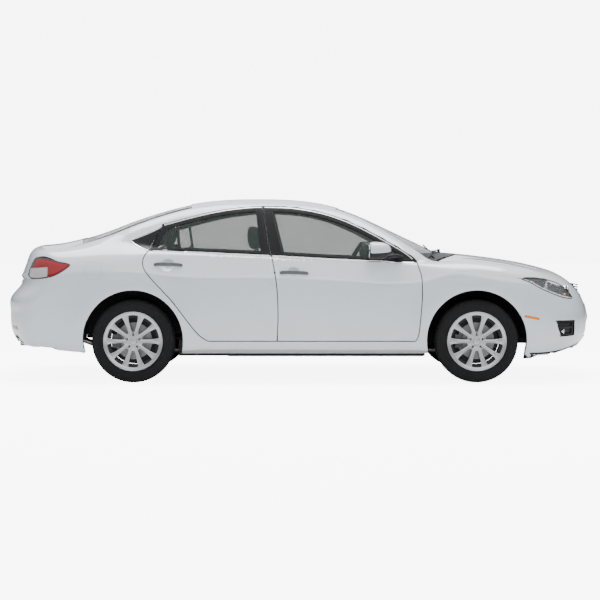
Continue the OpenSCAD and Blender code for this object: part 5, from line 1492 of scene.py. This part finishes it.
class Wheels:
    """Alloy wheels with discs and nuts, and tyres with tread."""

    name = "wheels"
    RIM, SEAT, SPOKES = 242.0, 226.0, 10
    NUTS, NUT_CIRCLE = 5, 57.15

    def build(self) -> None:
        """Makes one wheel and tyre and shows them at every corner."""
        wheel, tyre = self._wheel(), self._tyre()
        for side in Side:
            for end, axle in AXLES.items():
                place = Matrix(((1, 0, 0, axle), (0, 0, side.value, side.value * HALF_TRACK),
                                (0, 1, 0, TYRE_RADIUS), (0, 0, 0, 1)))
                body, rubber = f"{side.word}_{end}_wheel", f"{side.word}_{end}_tyre"
                metal = Draft().merge(wheel, place)
                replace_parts(metal.show(f"{body}.rim", body, (ALLOY, WHEEL_DARK, DISC, BRIGHT), 32.0), body)
                soft = Draft().merge(tyre, place)
                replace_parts(soft.show(f"{rubber}.tread", body, (RUBBER,), 38.0), rubber)

    def _wheel(self) -> Draft:
        rim, seat = self.RIM, self.SEAT
        draft = Draft()
        profile = [(rim - 9, -97), (rim - 2, -98), (rim, -95), (rim, -91), (seat, -90), (seat, -58),
                   (seat - 28, -10), (seat - 28, 44), (seat, 60), (seat, 90), (rim, 91), (rim + 0.5, 95),
                   (rim - 2, 98), (rim - 6, 97.5), (rim - 10, 93), (seat - 13, 86), (seat - 15, 64),
                   (seat - 37, 48), (seat - 37, -12), (seat - 10, -56), (seat - 9, -86)]
        draft.lathe(profile, 96)
        for i, face in enumerate(draft.faces):
            x, y, z = np.mean([draft.points[k] for k in face], 0)
            if z < 70 and math.hypot(x, y) < rim - 10:
                draft.looks[i] = 1
        draft.merge(REPEATER.run(self._spoke(), ALLOY, self.SPOKES, 36.0))
        holes = [circle(self.NUT_CIRCLE * math.cos(a), self.NUT_CIRCLE * math.sin(a), 13.0, 20)
                 for a in (math.radians(90 + 72 * i) for i in range(self.NUTS))]
        v, triangles = fill(circle(0, 0, 77, 60), 12.0, [*holes, circle(0, 0, 29.5, 40)])
        face = np.stack([v[:, 0], v[:, 1], 80 - 1.5 * (np.hypot(*v.T) / 77) ** 6], 1)
        up = np.tile([0, 0, 1.0], (len(v), 1))
        draft.merge(slab(face, triangles, up, 0.0, -18.0, 0.6))
        draft.lathe([(0, 20), (76, 20), (76, 61.5), (0, 61.5)], 48, look=1)
        draft.lathe([(0, 62), (27.5, 62), (27.5, 82.5), (24, 84.4), (17, 85), (0, 85)], 40)
        draft.lathe([(24.2, 82), (25.6, 82), (25.6, 85.1), (24.2, 85.1)], 40, look=3)
        nut = Draft().lathe([(0, 61.5), (9.4, 61.5), (9.4, 74), (7.5, 77), (0, 77.5)], 6)
        out = Matrix.Rotation(math.radians(90), 4, "Z") @ Matrix.Translation((self.NUT_CIRCLE, 0, 0))
        draft.merge(REPEATER.run(Draft().merge(nut, out), WHEEL_DARK, self.NUTS, 72.0), look=1)
        draft.lathe([(30, 34), (84, 34), (84, -3), (150, -3), (150, 6), (95, 6), (95, 10), (150, 10),
                     (150, 19), (92, 19), (92, 42), (30, 42)], 72, look=2)
        draft.lathe([(40, -9), (seat - 39, -9), (seat - 39, -6), (40, -6)], 60, look=1)
        vane = Draft().box((98, -2, 6), (147, 2, 10), bevel=0.0)
        draft.merge(REPEATER.run(vane, DISC, 36, 10.0), look=2)
        draft.lathe([(23.2, -14), (38, -14), (38, 34), (23.2, 34)], 32, look=1)
        return draft

    def _spoke(self) -> Draft:
        """One spoke, wide at both ends, its face gently hollow."""
        at = np.array([54, 74, 96, 120, 145, 170, 190, 203, 212, 219], float)
        half = np.interp(at, [54, 80, 120, 170, 200, 219], [17.0, 15.0, 15.5, 19.5, 24.5, 34.0])
        face = np.interp(at, [54, 90, 150, 200, 219], [80.5, 80.0, 82.0, 85.0, 86.0])
        back = np.interp(at, [54, 120, 200, 219], [56, 57, 60, 64])
        points, drop = [], 4.5
        for r, w, top, low in zip(at, half, face, back):
            points += [(r, -w, top - drop), (r, -w * 0.90, top - drop * 0.35), (r, -w * 0.72, top),
                       (r, 0, top - 1.6), (r, w * 0.72, top), (r, w * 0.90, top - drop * 0.35),
                       (r, w, top - drop), (r, w * 0.62, low), (r, -w * 0.62, low)]
        rows, n = len(at), len(points) // len(at)
        return Draft().add(points, [*(tuple(reversed(f)) for f in bands(rows, n)), *ends(rows, n)])

    def _tyre(self) -> Draft:
        w, tread, bead = 107.5, TYRE_RADIUS, self.SEAT + 0.4
        half = [(bead, 62), (bead, 89.5), (bead + 17, 91.5), (bead + 24, w - 12), (bead + 34, w - 5),
                (bead + 40, w - 3.2), (bead + 44, w - 2.2), (bead + 52, w - 2.4), (bead + 60, w - 0.4),
                (bead + 74, w - 0.4), (tread - 27, w - 3.5), (tread - 18, w - 7), (tread - 10, w - 14),
                (tread - 8.5, w - 24), (tread - 7.4, w - 40), (tread - 7, 40), (tread - 7, 14)]
        inner = [(tread - 17, 0), (tread - 18, w - 48), (tread - 22, w - 34), (tread - 30, w - 20),
                 (bead + 60, w - 12), (bead + 30, w - 20), (bead + 12, 76)]
        outer_loop = [*half, *((r, -z) for r, z in reversed(half))]
        inner_loop = [*((r, -z) for r, z in reversed(inner)), *inner[1:]]
        draft = Draft().lathe([*outer_loop, *inner_loop][::-1], 120)
        block = Draft()
        for z0, z1, skew in ((-20, 20, 0), (26, 52, 5), (-52, -26, -5)):
            block.merge(self._block(tread - 9.0, tread - 0.4, z0, z1, 13.2, skew))
        draft.merge(REPEATER.run(block, RUBBER, 72, 5.0))
        shoulder = Draft()
        for sign in (1, -1):
            edge = self._block(tread - 12.0, tread - 1.2, sign * 58, sign * 84, 12.2, 3 * sign, fall=4.2)
            shoulder.merge(edge)
        draft.merge(REPEATER.run(shoulder, RUBBER, 72, 5.0))
        return draft

    @staticmethod
    def _block(low: float, high: float, z0: float, z1: float, half: float, skew: float,
               fall: float = 0.0) -> Draft:
        """One tread block, its sides drawn in towards the top."""
        z0, z1 = min(z0, z1), max(z0, z1)
        outer = z1 if abs(z1) > abs(z0) else z0
        points = []
        for r, grow in ((low, 1.5), (high, 0.0)):
            for z, y in ((z0, -half), (z0, half), (z1, half), (z1, -half)):
                lower = fall if (z == outer and fall) else 0.0
                lean = skew if z == z1 else -skew
                side = math.copysign(grow, z - (z0 + z1) / 2)
                points.append((r - lower, y + lean + math.copysign(grow * 0.6, y), z + side))
        faces = [(0, 1, 2, 3), (7, 6, 5, 4), (0, 4, 5, 1), (1, 5, 6, 2), (2, 6, 7, 3), (3, 7, 4, 0)]
        return Draft().add(points, faces)


class Underbody:
    """CAD parts that are shown as they are, with their finishes."""

    name = "underbody and running gear"
    FINISHES = {"floor_pan": UNDER, "engine_bay": UNDER, "engine_block": ENGINE, "exhaust_system": STEEL,
                "fuel_tank": TANK, "front_suspension": IRON, "rear_suspension": IRON,
                "right_front_knuckle": IRON, "left_front_knuckle": IRON}

    def build(self) -> None:
        """Gives each its finish."""
        for node, finish in self.FINISHES.items():
            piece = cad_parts[node]
            if not piece.material_slots:
                piece.data.materials.append(MATERIALS.get(finish))
            for slot in piece.material_slots:
                slot.link = "OBJECT"
                slot.material = MATERIALS.get(finish)
            log.info("%-34s %s", node, finish.name)


STEERING = Matrix.Translation((455, 375, 975)) @ Matrix.Rotation(math.radians(120), 4, "Y")


class Cabin:
    """Seats, dashboard, console and steering wheel."""

    name = "cabin"

    def build(self) -> None:
        """Makes everything inside."""
        self._front_seats()
        self._rear_seat()
        self._dashboard()
        self._console()
        self._steering_wheel()

    @staticmethod
    def _pad(profile: Sequence[Point2], width: float, crown: float = 10.0, bolster: float = 0.0,
             y: float = 0.0) -> Draft:
        """A stuffed shape with rounded ends, from its profile (x, z).

        Args:
            profile: Outline, anticlockwise as seen from the right of the car.
            width: Width across the car.
            crown: How far its ends are drawn in.
            bolster: How far the sides stand up beside the middle.
            y: Middle of the pad.

        Returns:
            The closed pad.
        """
        loop = smooth_line([*profile, profile[0]], 4)
        outline = along(loop, 16.0)[:-1]
        middle = outline.mean(0)
        n, stations = len(outline), 31
        points = []
        for i in range(stations):
            t = -1 + 2 * i / (stations - 1)
            s = math.sin(t * math.pi / 2)
            edge = (1 - abs(s) ** 9) ** 0.5
            spread = np.linalg.norm(outline - middle, axis=1, keepdims=True)
            draw = (outline - middle) / spread * crown * 1.8 * (1 - edge)
            puff = (outline - middle) / spread * bolster * math.exp(-((abs(s) - 0.80) / 0.16) ** 2)
            ring = outline - draw - (outline - middle) / spread * bolster + puff
            points += [(x, y + s * width / 2, z) for x, z in ring]
        pad = Draft().add(points, [tuple(reversed(f)) for f in bands(stations, n)])
        for row, sign in ((0, -1), (stations - 1, 1)):
            ring = np.array([(p[0], p[2]) for p in points[row * n:(row + 1) * n]])
            v, triangles = fill(ring, 30.0)
            cap = [(a, y + sign * width / 2, b) for a, b in v]
            pad.add(cap, triangles if sign < 0 else [tuple(reversed(t)) for t in triangles])
        return pad

    @staticmethod
    def _weld(draft: Draft) -> Draft:
        """Joins points that lie together and turns all faces outward."""
        bm = bmesh.new()
        verts = [bm.verts.new(p) for p in draft.points]
        for face in draft.faces:
            try:
                bm.faces.new([verts[i] for i in face])
            except ValueError:
                pass
        bmesh.ops.remove_doubles(bm, verts=bm.verts, dist=0.05)
        bmesh.ops.dissolve_degenerate(bm, dist=0.02, edges=bm.edges)
        bmesh.ops.recalc_face_normals(bm, faces=bm.faces)
        return Draft().take(bm)

    def _soft(self, name: str, draft: Draft, finish: Finish) -> bpy.types.Object:
        """Shows a stuffed piece, puffed up by a short cloth run."""
        piece = self._weld(draft).show(name, "body", (finish,), 60.0)
        Puff.run(piece)
        return piece

    def _front_seats(self) -> None:
        cushion = [(-178, 300), (295, 312), (350, 345), (362, 395), (330, 430), (250, 436), (60, 424),
                   (-105, 402), (-176, 380)]
        back = [(-112, 402), (-152, 470), (-236, 760), (-312, 1005), (-340, 1040), (-383, 1046), (-408, 1018),
                (-350, 760), (-265, 425), (-242, 345), (-182, 334)]
        rest = [(-355, 1088), (-340, 1150), (-347, 1226), (-376, 1270), (-413, 1273), (-436, 1243),
                (-430, 1132), (-410, 1086)]
        for side in Side:
            y, word = side.value * 375.0, side.word
            base = self._soft(f"{word}_front_seat_cushion", self._pad(cushion, 474, 16, 8, y), CLOTH)
            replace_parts(base, "front_seats")
            self._soft(f"{word}_front_seat_back", self._pad(back, 454, 16, 7, y), CLOTH)
            self._soft(f"{word}_front_headrest", self._pad(rest, 266, 14, 0, y), CLOTH_DARK)
            posts = Draft()
            for dy in (-60, 60):
                path = np.array([(-362, y + dy, 1020), (-374, y + dy, 1070), (-386, y + dy, 1120)], float)
                posts.sweep(path, np.tile([1.0, 0, 0], (3, 1)), circle(0, 0, 6, 12))
            for dy in (-200, 200):
                posts.box((-170, y + dy - 20, 235.5), (330, y + dy + 20, 262), bevel=3)
                posts.box((-150, y + dy - 12, 262), (300, y + dy + 12, 304), bevel=3)
            posts.show(f"{word}_front_seat_frame", "body", (TRIM_SATIN,))
            self._seams(f"{word}_front_seat_seams", cushion[3:8], y, 232.0, 6.0)

    def _seams(self, name: str, line: Sequence[Point2], y: float, half: float, lift: float) -> None:
        """Rows of stitches over a cushion's two bolster seams."""
        unit = Draft().box((-5, -1.0, -1.0), (5, 1.0, 1.0), bevel=0.4)
        path = along(smooth_line(line, 4), 14.0)
        stitches, count = Draft(), len(path) - 1
        flat = REPEATER.run(unit, THREAD, count, step=(1.0, 0.0, 0.0), jitter=0.1)
        per, faces_per = len(flat.points) // count, len(flat.faces) // count
        for sign in (-1, 1):
            for i, (a, b) in enumerate(zip(path[:-1], path[1:])):
                middle, way = (a + b) / 2, (b - a) / np.linalg.norm(b - a)
                matrix = Matrix(((way[0], 0, -way[1], middle[0]), (0, 1, 0, y + sign * half * 0.62),
                                 (way[1], 0, way[0], middle[1] - 8.0 + lift), (0, 0, 0, 1)))
                points = [Vector(p) - Vector((i, 0, 0)) for p in flat.points[i * per:(i + 1) * per]]
                faces = [tuple(k - i * per for k in f) for f in flat.faces[i * faces_per:(i + 1) * faces_per]]
                stitches.add([matrix @ p for p in points], faces)
        stitches.show(name, "body", (THREAD,))

    def _rear_seat(self) -> None:
        back, base = -1150.0 + 0.3, 360.3
        cushion = [(back + 150, base), (back + 596, base), (back + 620, base + 42), (back + 616, base + 92),
                   (back + 575, base + 112), (back + 360, base + 98), (back + 152, base + 84)]
        rest = [(back + 1, base + 20), (back + 147, base + 60), (back + 148, base + 88),
                (back + 208, base + 104), (back + 146, base + 340), (back + 74, base + 585),
                (back + 48, base + 610), (back + 2, base + 612)]
        piece = self._soft("rear_seat_cushion", self._pad(cushion, 1225, 14, 0), CLOTH)
        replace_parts(piece, "rear_seat")
        self._soft("rear_seat_back", self._pad(rest, 1225, 14, 0), CLOTH)
        for side in Side:
            head = [(back + 6, base + 612), (back + 68, base + 612), (back + 54, base + 686),
                    (back + 9, base + 684)]
            pad = self._pad(head, 236, 10, 0, side.value * 320.0)
            self._soft(f"{side.word}_rear_headrest", pad, CLOTH_DARK)

    def _dashboard(self) -> None:
        profile = [(1009, 562), (1009, 878), (984, 980), (900, 1004), (700, 1016), (612, 1000), (570, 950),
                   (590, 812), (678, 642), (758, 562)]
        dash = Draft().prism(profile, 669.0, 9, 3)
        for y in (-560.0, -90.0, 90.0, 560.0):
            dash.box((574, y - 62, 902), (612, y + 62, 962), look=1, bevel=5)
            slat = Draft().box((566, y - 52, 908), (576, y + 52, 911), look=2, bevel=0.8)
            dash.merge(REPEATER.run(slat, TRIM_SATIN, 5, step=(0.0, 0.0, 10.0)), look=2)
        dash.box((558, 250, 968), (660, 500, 1038), look=0, bevel=14)
        for y in (315.0, 435.0):
            dial = Draft().lathe([(0, 0), (44, 0), (44, 6), (38, 4), (0, 3)], 40, look=1)
            dash.merge(dial, Matrix.Translation((560, y, 1000)) @ Matrix.Rotation(math.radians(-90), 4, "Y"))
        dash.box((566, -120, 800), (600, 120, 884), look=2, bevel=5)
        dash.box((600, -490, 760), (622, -170, 842), look=0, bevel=7)
        column = Draft().lathe([(0, 62), (34, 62), (38, 90), (38, 270), (0, 270)], 32)
        column.lathe([(0, 8), (9.8, 8), (9.8, 66), (0, 66)], 24, look=2)
        dash.merge(column, STEERING)
        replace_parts(dash.show("dashboard.top", "body", (TRIM, BLACK, TRIM_SATIN)), "dashboard")

    @staticmethod
    def _console() -> None:
        draft = Draft()
        draft.box((-300, -114, 355.6), (-252, 114, 520), bevel=8)
        draft.box((-252, -114, 355.6), (150, 114, 561), bevel=10)
        draft.box((150, -114, 355.6), (675, 114, 497), bevel=6)
        holes = [circle(x, 0, 38, 40) for x in (230, 325)]
        v, triangles = fill(rectangle((150, -114), (405, 114)), 22.0, holes)
        face = np.stack([v[:, 0], v[:, 1], np.full(len(v), 561.0)], 1)
        draft.merge(slab(face, triangles, np.tile([0, 0, 1.0], (len(v), 1)), 0.0, -64.0, 1.5))
        for x in (230, 325):
            ring = Draft().lathe([(38.0, -3), (42, -3), (42, 1.2), (40, 1.8), (38.0, 1.2)], 40, look=1)
            draft.merge(ring, Matrix.Translation((x, 0, 561)))
        draft.prism([(405, 495), (675, 495), (675, 639), (590, 639), (444, 562), (405, 562)], 114.0, 5, 2)
        gaiter = Draft().lathe([(0, -2), (44, -2), (40, 8), (22, 26), (9, 40), (0, 41)], 32, look=2)
        gaiter.lathe([(0, 38), (7, 38), (7, 74), (19, 84), (22, 100), (15, 112), (0, 115)], 32, look=1)
        draft.merge(gaiter, Matrix.Translation((90, 0, 560)))
        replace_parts(draft.show("center_console.trim", "body", (TRIM, TRIM_SATIN, BLACK)), "center_console")

    @staticmethod
    def _steering_wheel() -> None:
        draft = Draft()
        path = np.hstack([circle(0, 0, 178, 72), np.zeros((72, 1))])
        section = circle(0, 0, 1.0, 16) * (15, 14.5)
        draft.sweep(path, np.tile([0, 0, 1.0], (72, 1)), section, closed=True)
        draft.lathe([(11, 22), (26, 22), (26, 55), (11, 55)], 32, look=1)
        draft.lathe([(0, 5), (54, 5), (62, 0), (60, -8), (46, -15), (0, -19)][::-1], 40)
        for angle in (0, 90, 270):
            spoke = Draft().box((40, -19, -6), (170, 19, 6), look=0, bevel=4)
            spoke.box((66, -13, -8.5), (150, 13, -5), look=1, bevel=1.5)
            draft.merge(spoke, Matrix.Rotation(math.radians(angle), 4, "Z"))
        turned = Draft().merge(draft, STEERING)
        piece = turned.show("steering_wheel.rim", "steering_wheel", (TRIM, TRIM_SATIN), 40.0)
        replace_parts(piece, "steering_wheel")


class Puff:
    """A short cloth run under pressure, which rounds a stuffed piece."""

    LAST = 14
    GIVE = 0.009

    @classmethod
    def run(cls, piece: bpy.types.Object) -> None:
        """Puffs a piece up and lays its vertices where the run ends.

        Args:
            piece: A closed mesh at rest.
        """
        bpy.context.view_layer.update()
        start = np.empty(len(piece.data.vertices) * 3, np.float32)
        piece.data.vertices.foreach_get("co", start)
        copy = bpy.data.objects.new("puff", piece.data.copy())
        bpy.context.scene.collection.objects.link(copy)
        cloth = copy.modifiers.new("cloth", "CLOTH")
        cloth.settings.use_pressure = True
        cloth.settings.uniform_pressure_force = 4.0
        cloth.settings.quality = 4
        cloth.settings.tension_stiffness = cloth.settings.compression_stiffness = 25
        cloth.settings.effector_weights.gravity = 0.0
        cloth.collision_settings.use_self_collision = False
        cloth.collision_settings.use_collision = False
        cloth.point_cache.frame_start, cloth.point_cache.frame_end = 1, cls.LAST
        scene = bpy.context.scene
        for number in range(1, cls.LAST + 1):
            scene.frame_set(number)
        mesh = copy.evaluated_get(bpy.context.evaluated_depsgraph_get()).to_mesh()
        end = np.empty_like(start)
        mesh.vertices.foreach_get("co", end)
        scene.frame_set(1)
        move = (end - start).reshape(-1, 3)
        reach = np.linalg.norm(move, axis=1, keepdims=True)
        if not np.isfinite(reach).all():
            move, reach = np.zeros_like(move), np.ones_like(reach)
        move *= np.minimum(1.0, cls.GIVE / np.maximum(reach, 1e-9))
        piece.data.vertices.foreach_set("co", (start.reshape(-1, 3) + move).ravel())
        piece.data.update()
        data = copy.data
        bpy.data.objects.remove(copy)
        bpy.data.meshes.remove(data)


class Studio:
    """Pale floor, soft light and the camera."""

    FLOOR, BELOW = 60, -0.002
    FLOOR_GLOW, SKY_GLOW = 7.0, 9.0
    SKY_FROM, SKY_TO = (0.05, 0.20), (0.75, 1.25)

    def build(self) -> None:
        """Sets the scene round the car."""
        scene = bpy.context.scene
        mesh = bpy.data.meshes.new("studio_floor")
        corners = rectangle((-self.FLOOR, -self.FLOOR), (self.FLOOR, self.FLOOR))
        mesh.from_pydata([(x, y, self.BELOW) for x, y in corners], [], [(0, 1, 2, 3)])
        floor = bpy.data.objects.new("studio_floor", mesh)
        scene.collection.objects.link(floor)
        pale = bpy.data.materials.new("studio_floor")
        pale.use_nodes = True
        shader = pale.node_tree.nodes["Principled BSDF"]
        shader.inputs["Base Color"].default_value = (0.86, 0.86, 0.86, 1)
        shader.inputs["Emission Color"].default_value = (1, 1, 1, 1)
        ray, lift = (pale.node_tree.nodes.new(kind) for kind in ("ShaderNodeLightPath", "ShaderNodeMath"))
        lift.operation = "MULTIPLY"
        lift.inputs[1].default_value = self.FLOOR_GLOW
        pale.node_tree.links.new(ray.outputs["Is Camera Ray"], lift.inputs[0])
        pale.node_tree.links.new(lift.outputs["Value"], shader.inputs["Emission Strength"])
        shader.inputs["Roughness"].default_value = 0.9
        mesh.materials.append(pale)
        world = bpy.data.worlds.new("studio")
        scene.world = world
        world.use_nodes = True
        self._sky(world.node_tree)
        self._light("top", (0, 0, 6.5), (0, 0, 0), (7.5, 3.2), 780)
        self._light("near", (1.5, -8.0, 5.2), (0, 0, 0.8), (9.0, 2.6), 200)
        self._light("far", (0, 8.5, 4.0), (0, 0, 0.8), (8.0, 3.0), 90)
        camera = bpy.data.cameras.new("camera")
        camera.lens, camera.shift_y = 91.9, -0.102
        camera.clip_end = 200
        holder = bpy.data.objects.new("camera", camera)
        holder.location = (0, -13.3, 1.17)
        holder.rotation_euler = (math.radians(90), 0, 0)
        scene.collection.objects.link(holder)
        scene.camera = holder

    def _sky(self, tree: bpy.types.NodeTree) -> None:
        """Light that grows from the horizon up, before a plain white ground."""
        nodes, links = tree.nodes, tree.links
        lit, seen = nodes["Background"], nodes.new("ShaderNodeBackground")
        lit.inputs["Color"].default_value = (0.93, 0.95, 0.98, 1)
        seen.inputs["Strength"].default_value = self.SKY_GLOW
        place, parts, rise = (nodes.new(kind) for kind in ("ShaderNodeTexCoord", "ShaderNodeSeparateXYZ",
                                                           "ShaderNodeMapRange"))
        links.new(place.outputs["Generated"], parts.inputs["Vector"])
        links.new(parts.outputs["Z"], rise.inputs["Value"])
        for end, pair in (("Min", self.SKY_FROM), ("Max", self.SKY_TO)):
            rise.inputs[f"From {end}"].default_value, rise.inputs[f"To {end}"].default_value = pair
        links.new(rise.outputs["Result"], lit.inputs["Strength"])
        ray, choice = nodes.new("ShaderNodeLightPath"), nodes.new("ShaderNodeMixShader")
        links.new(ray.outputs["Is Camera Ray"], choice.inputs["Fac"])
        links.new(lit.outputs["Background"], choice.inputs[1])
        links.new(seen.outputs["Background"], choice.inputs[2])
        links.new(choice.outputs["Shader"], nodes["World Output"].inputs["Surface"])

    @staticmethod
    def _light(name: str, place: tuple, target: tuple, size: Point2, power: float) -> None:
        lamp = bpy.data.lights.new(name, "AREA")
        lamp.shape, lamp.size, lamp.size_y, lamp.energy = "RECTANGLE", *size, power
        holder = bpy.data.objects.new(name, lamp)
        holder.location = place
        holder.rotation_euler = (Vector(target) - Vector(place)).to_track_quat("-Z", "Y").to_euler()
        bpy.context.scene.collection.objects.link(holder)


def main() -> None:
    """Builds the car piece by piece, then the studio."""
    for maker in (BodyShell, Lids, Doors, Windows, Lamps, Grilles, Wheels, Underbody, Cabin):
        log.info("-- %s", maker.name)
        maker().build()
    log.info("%d pieces, %d triangles in all", Report.pieces, Report.triangles)
    Studio().build()


if __name__ == "__main__":
    main()
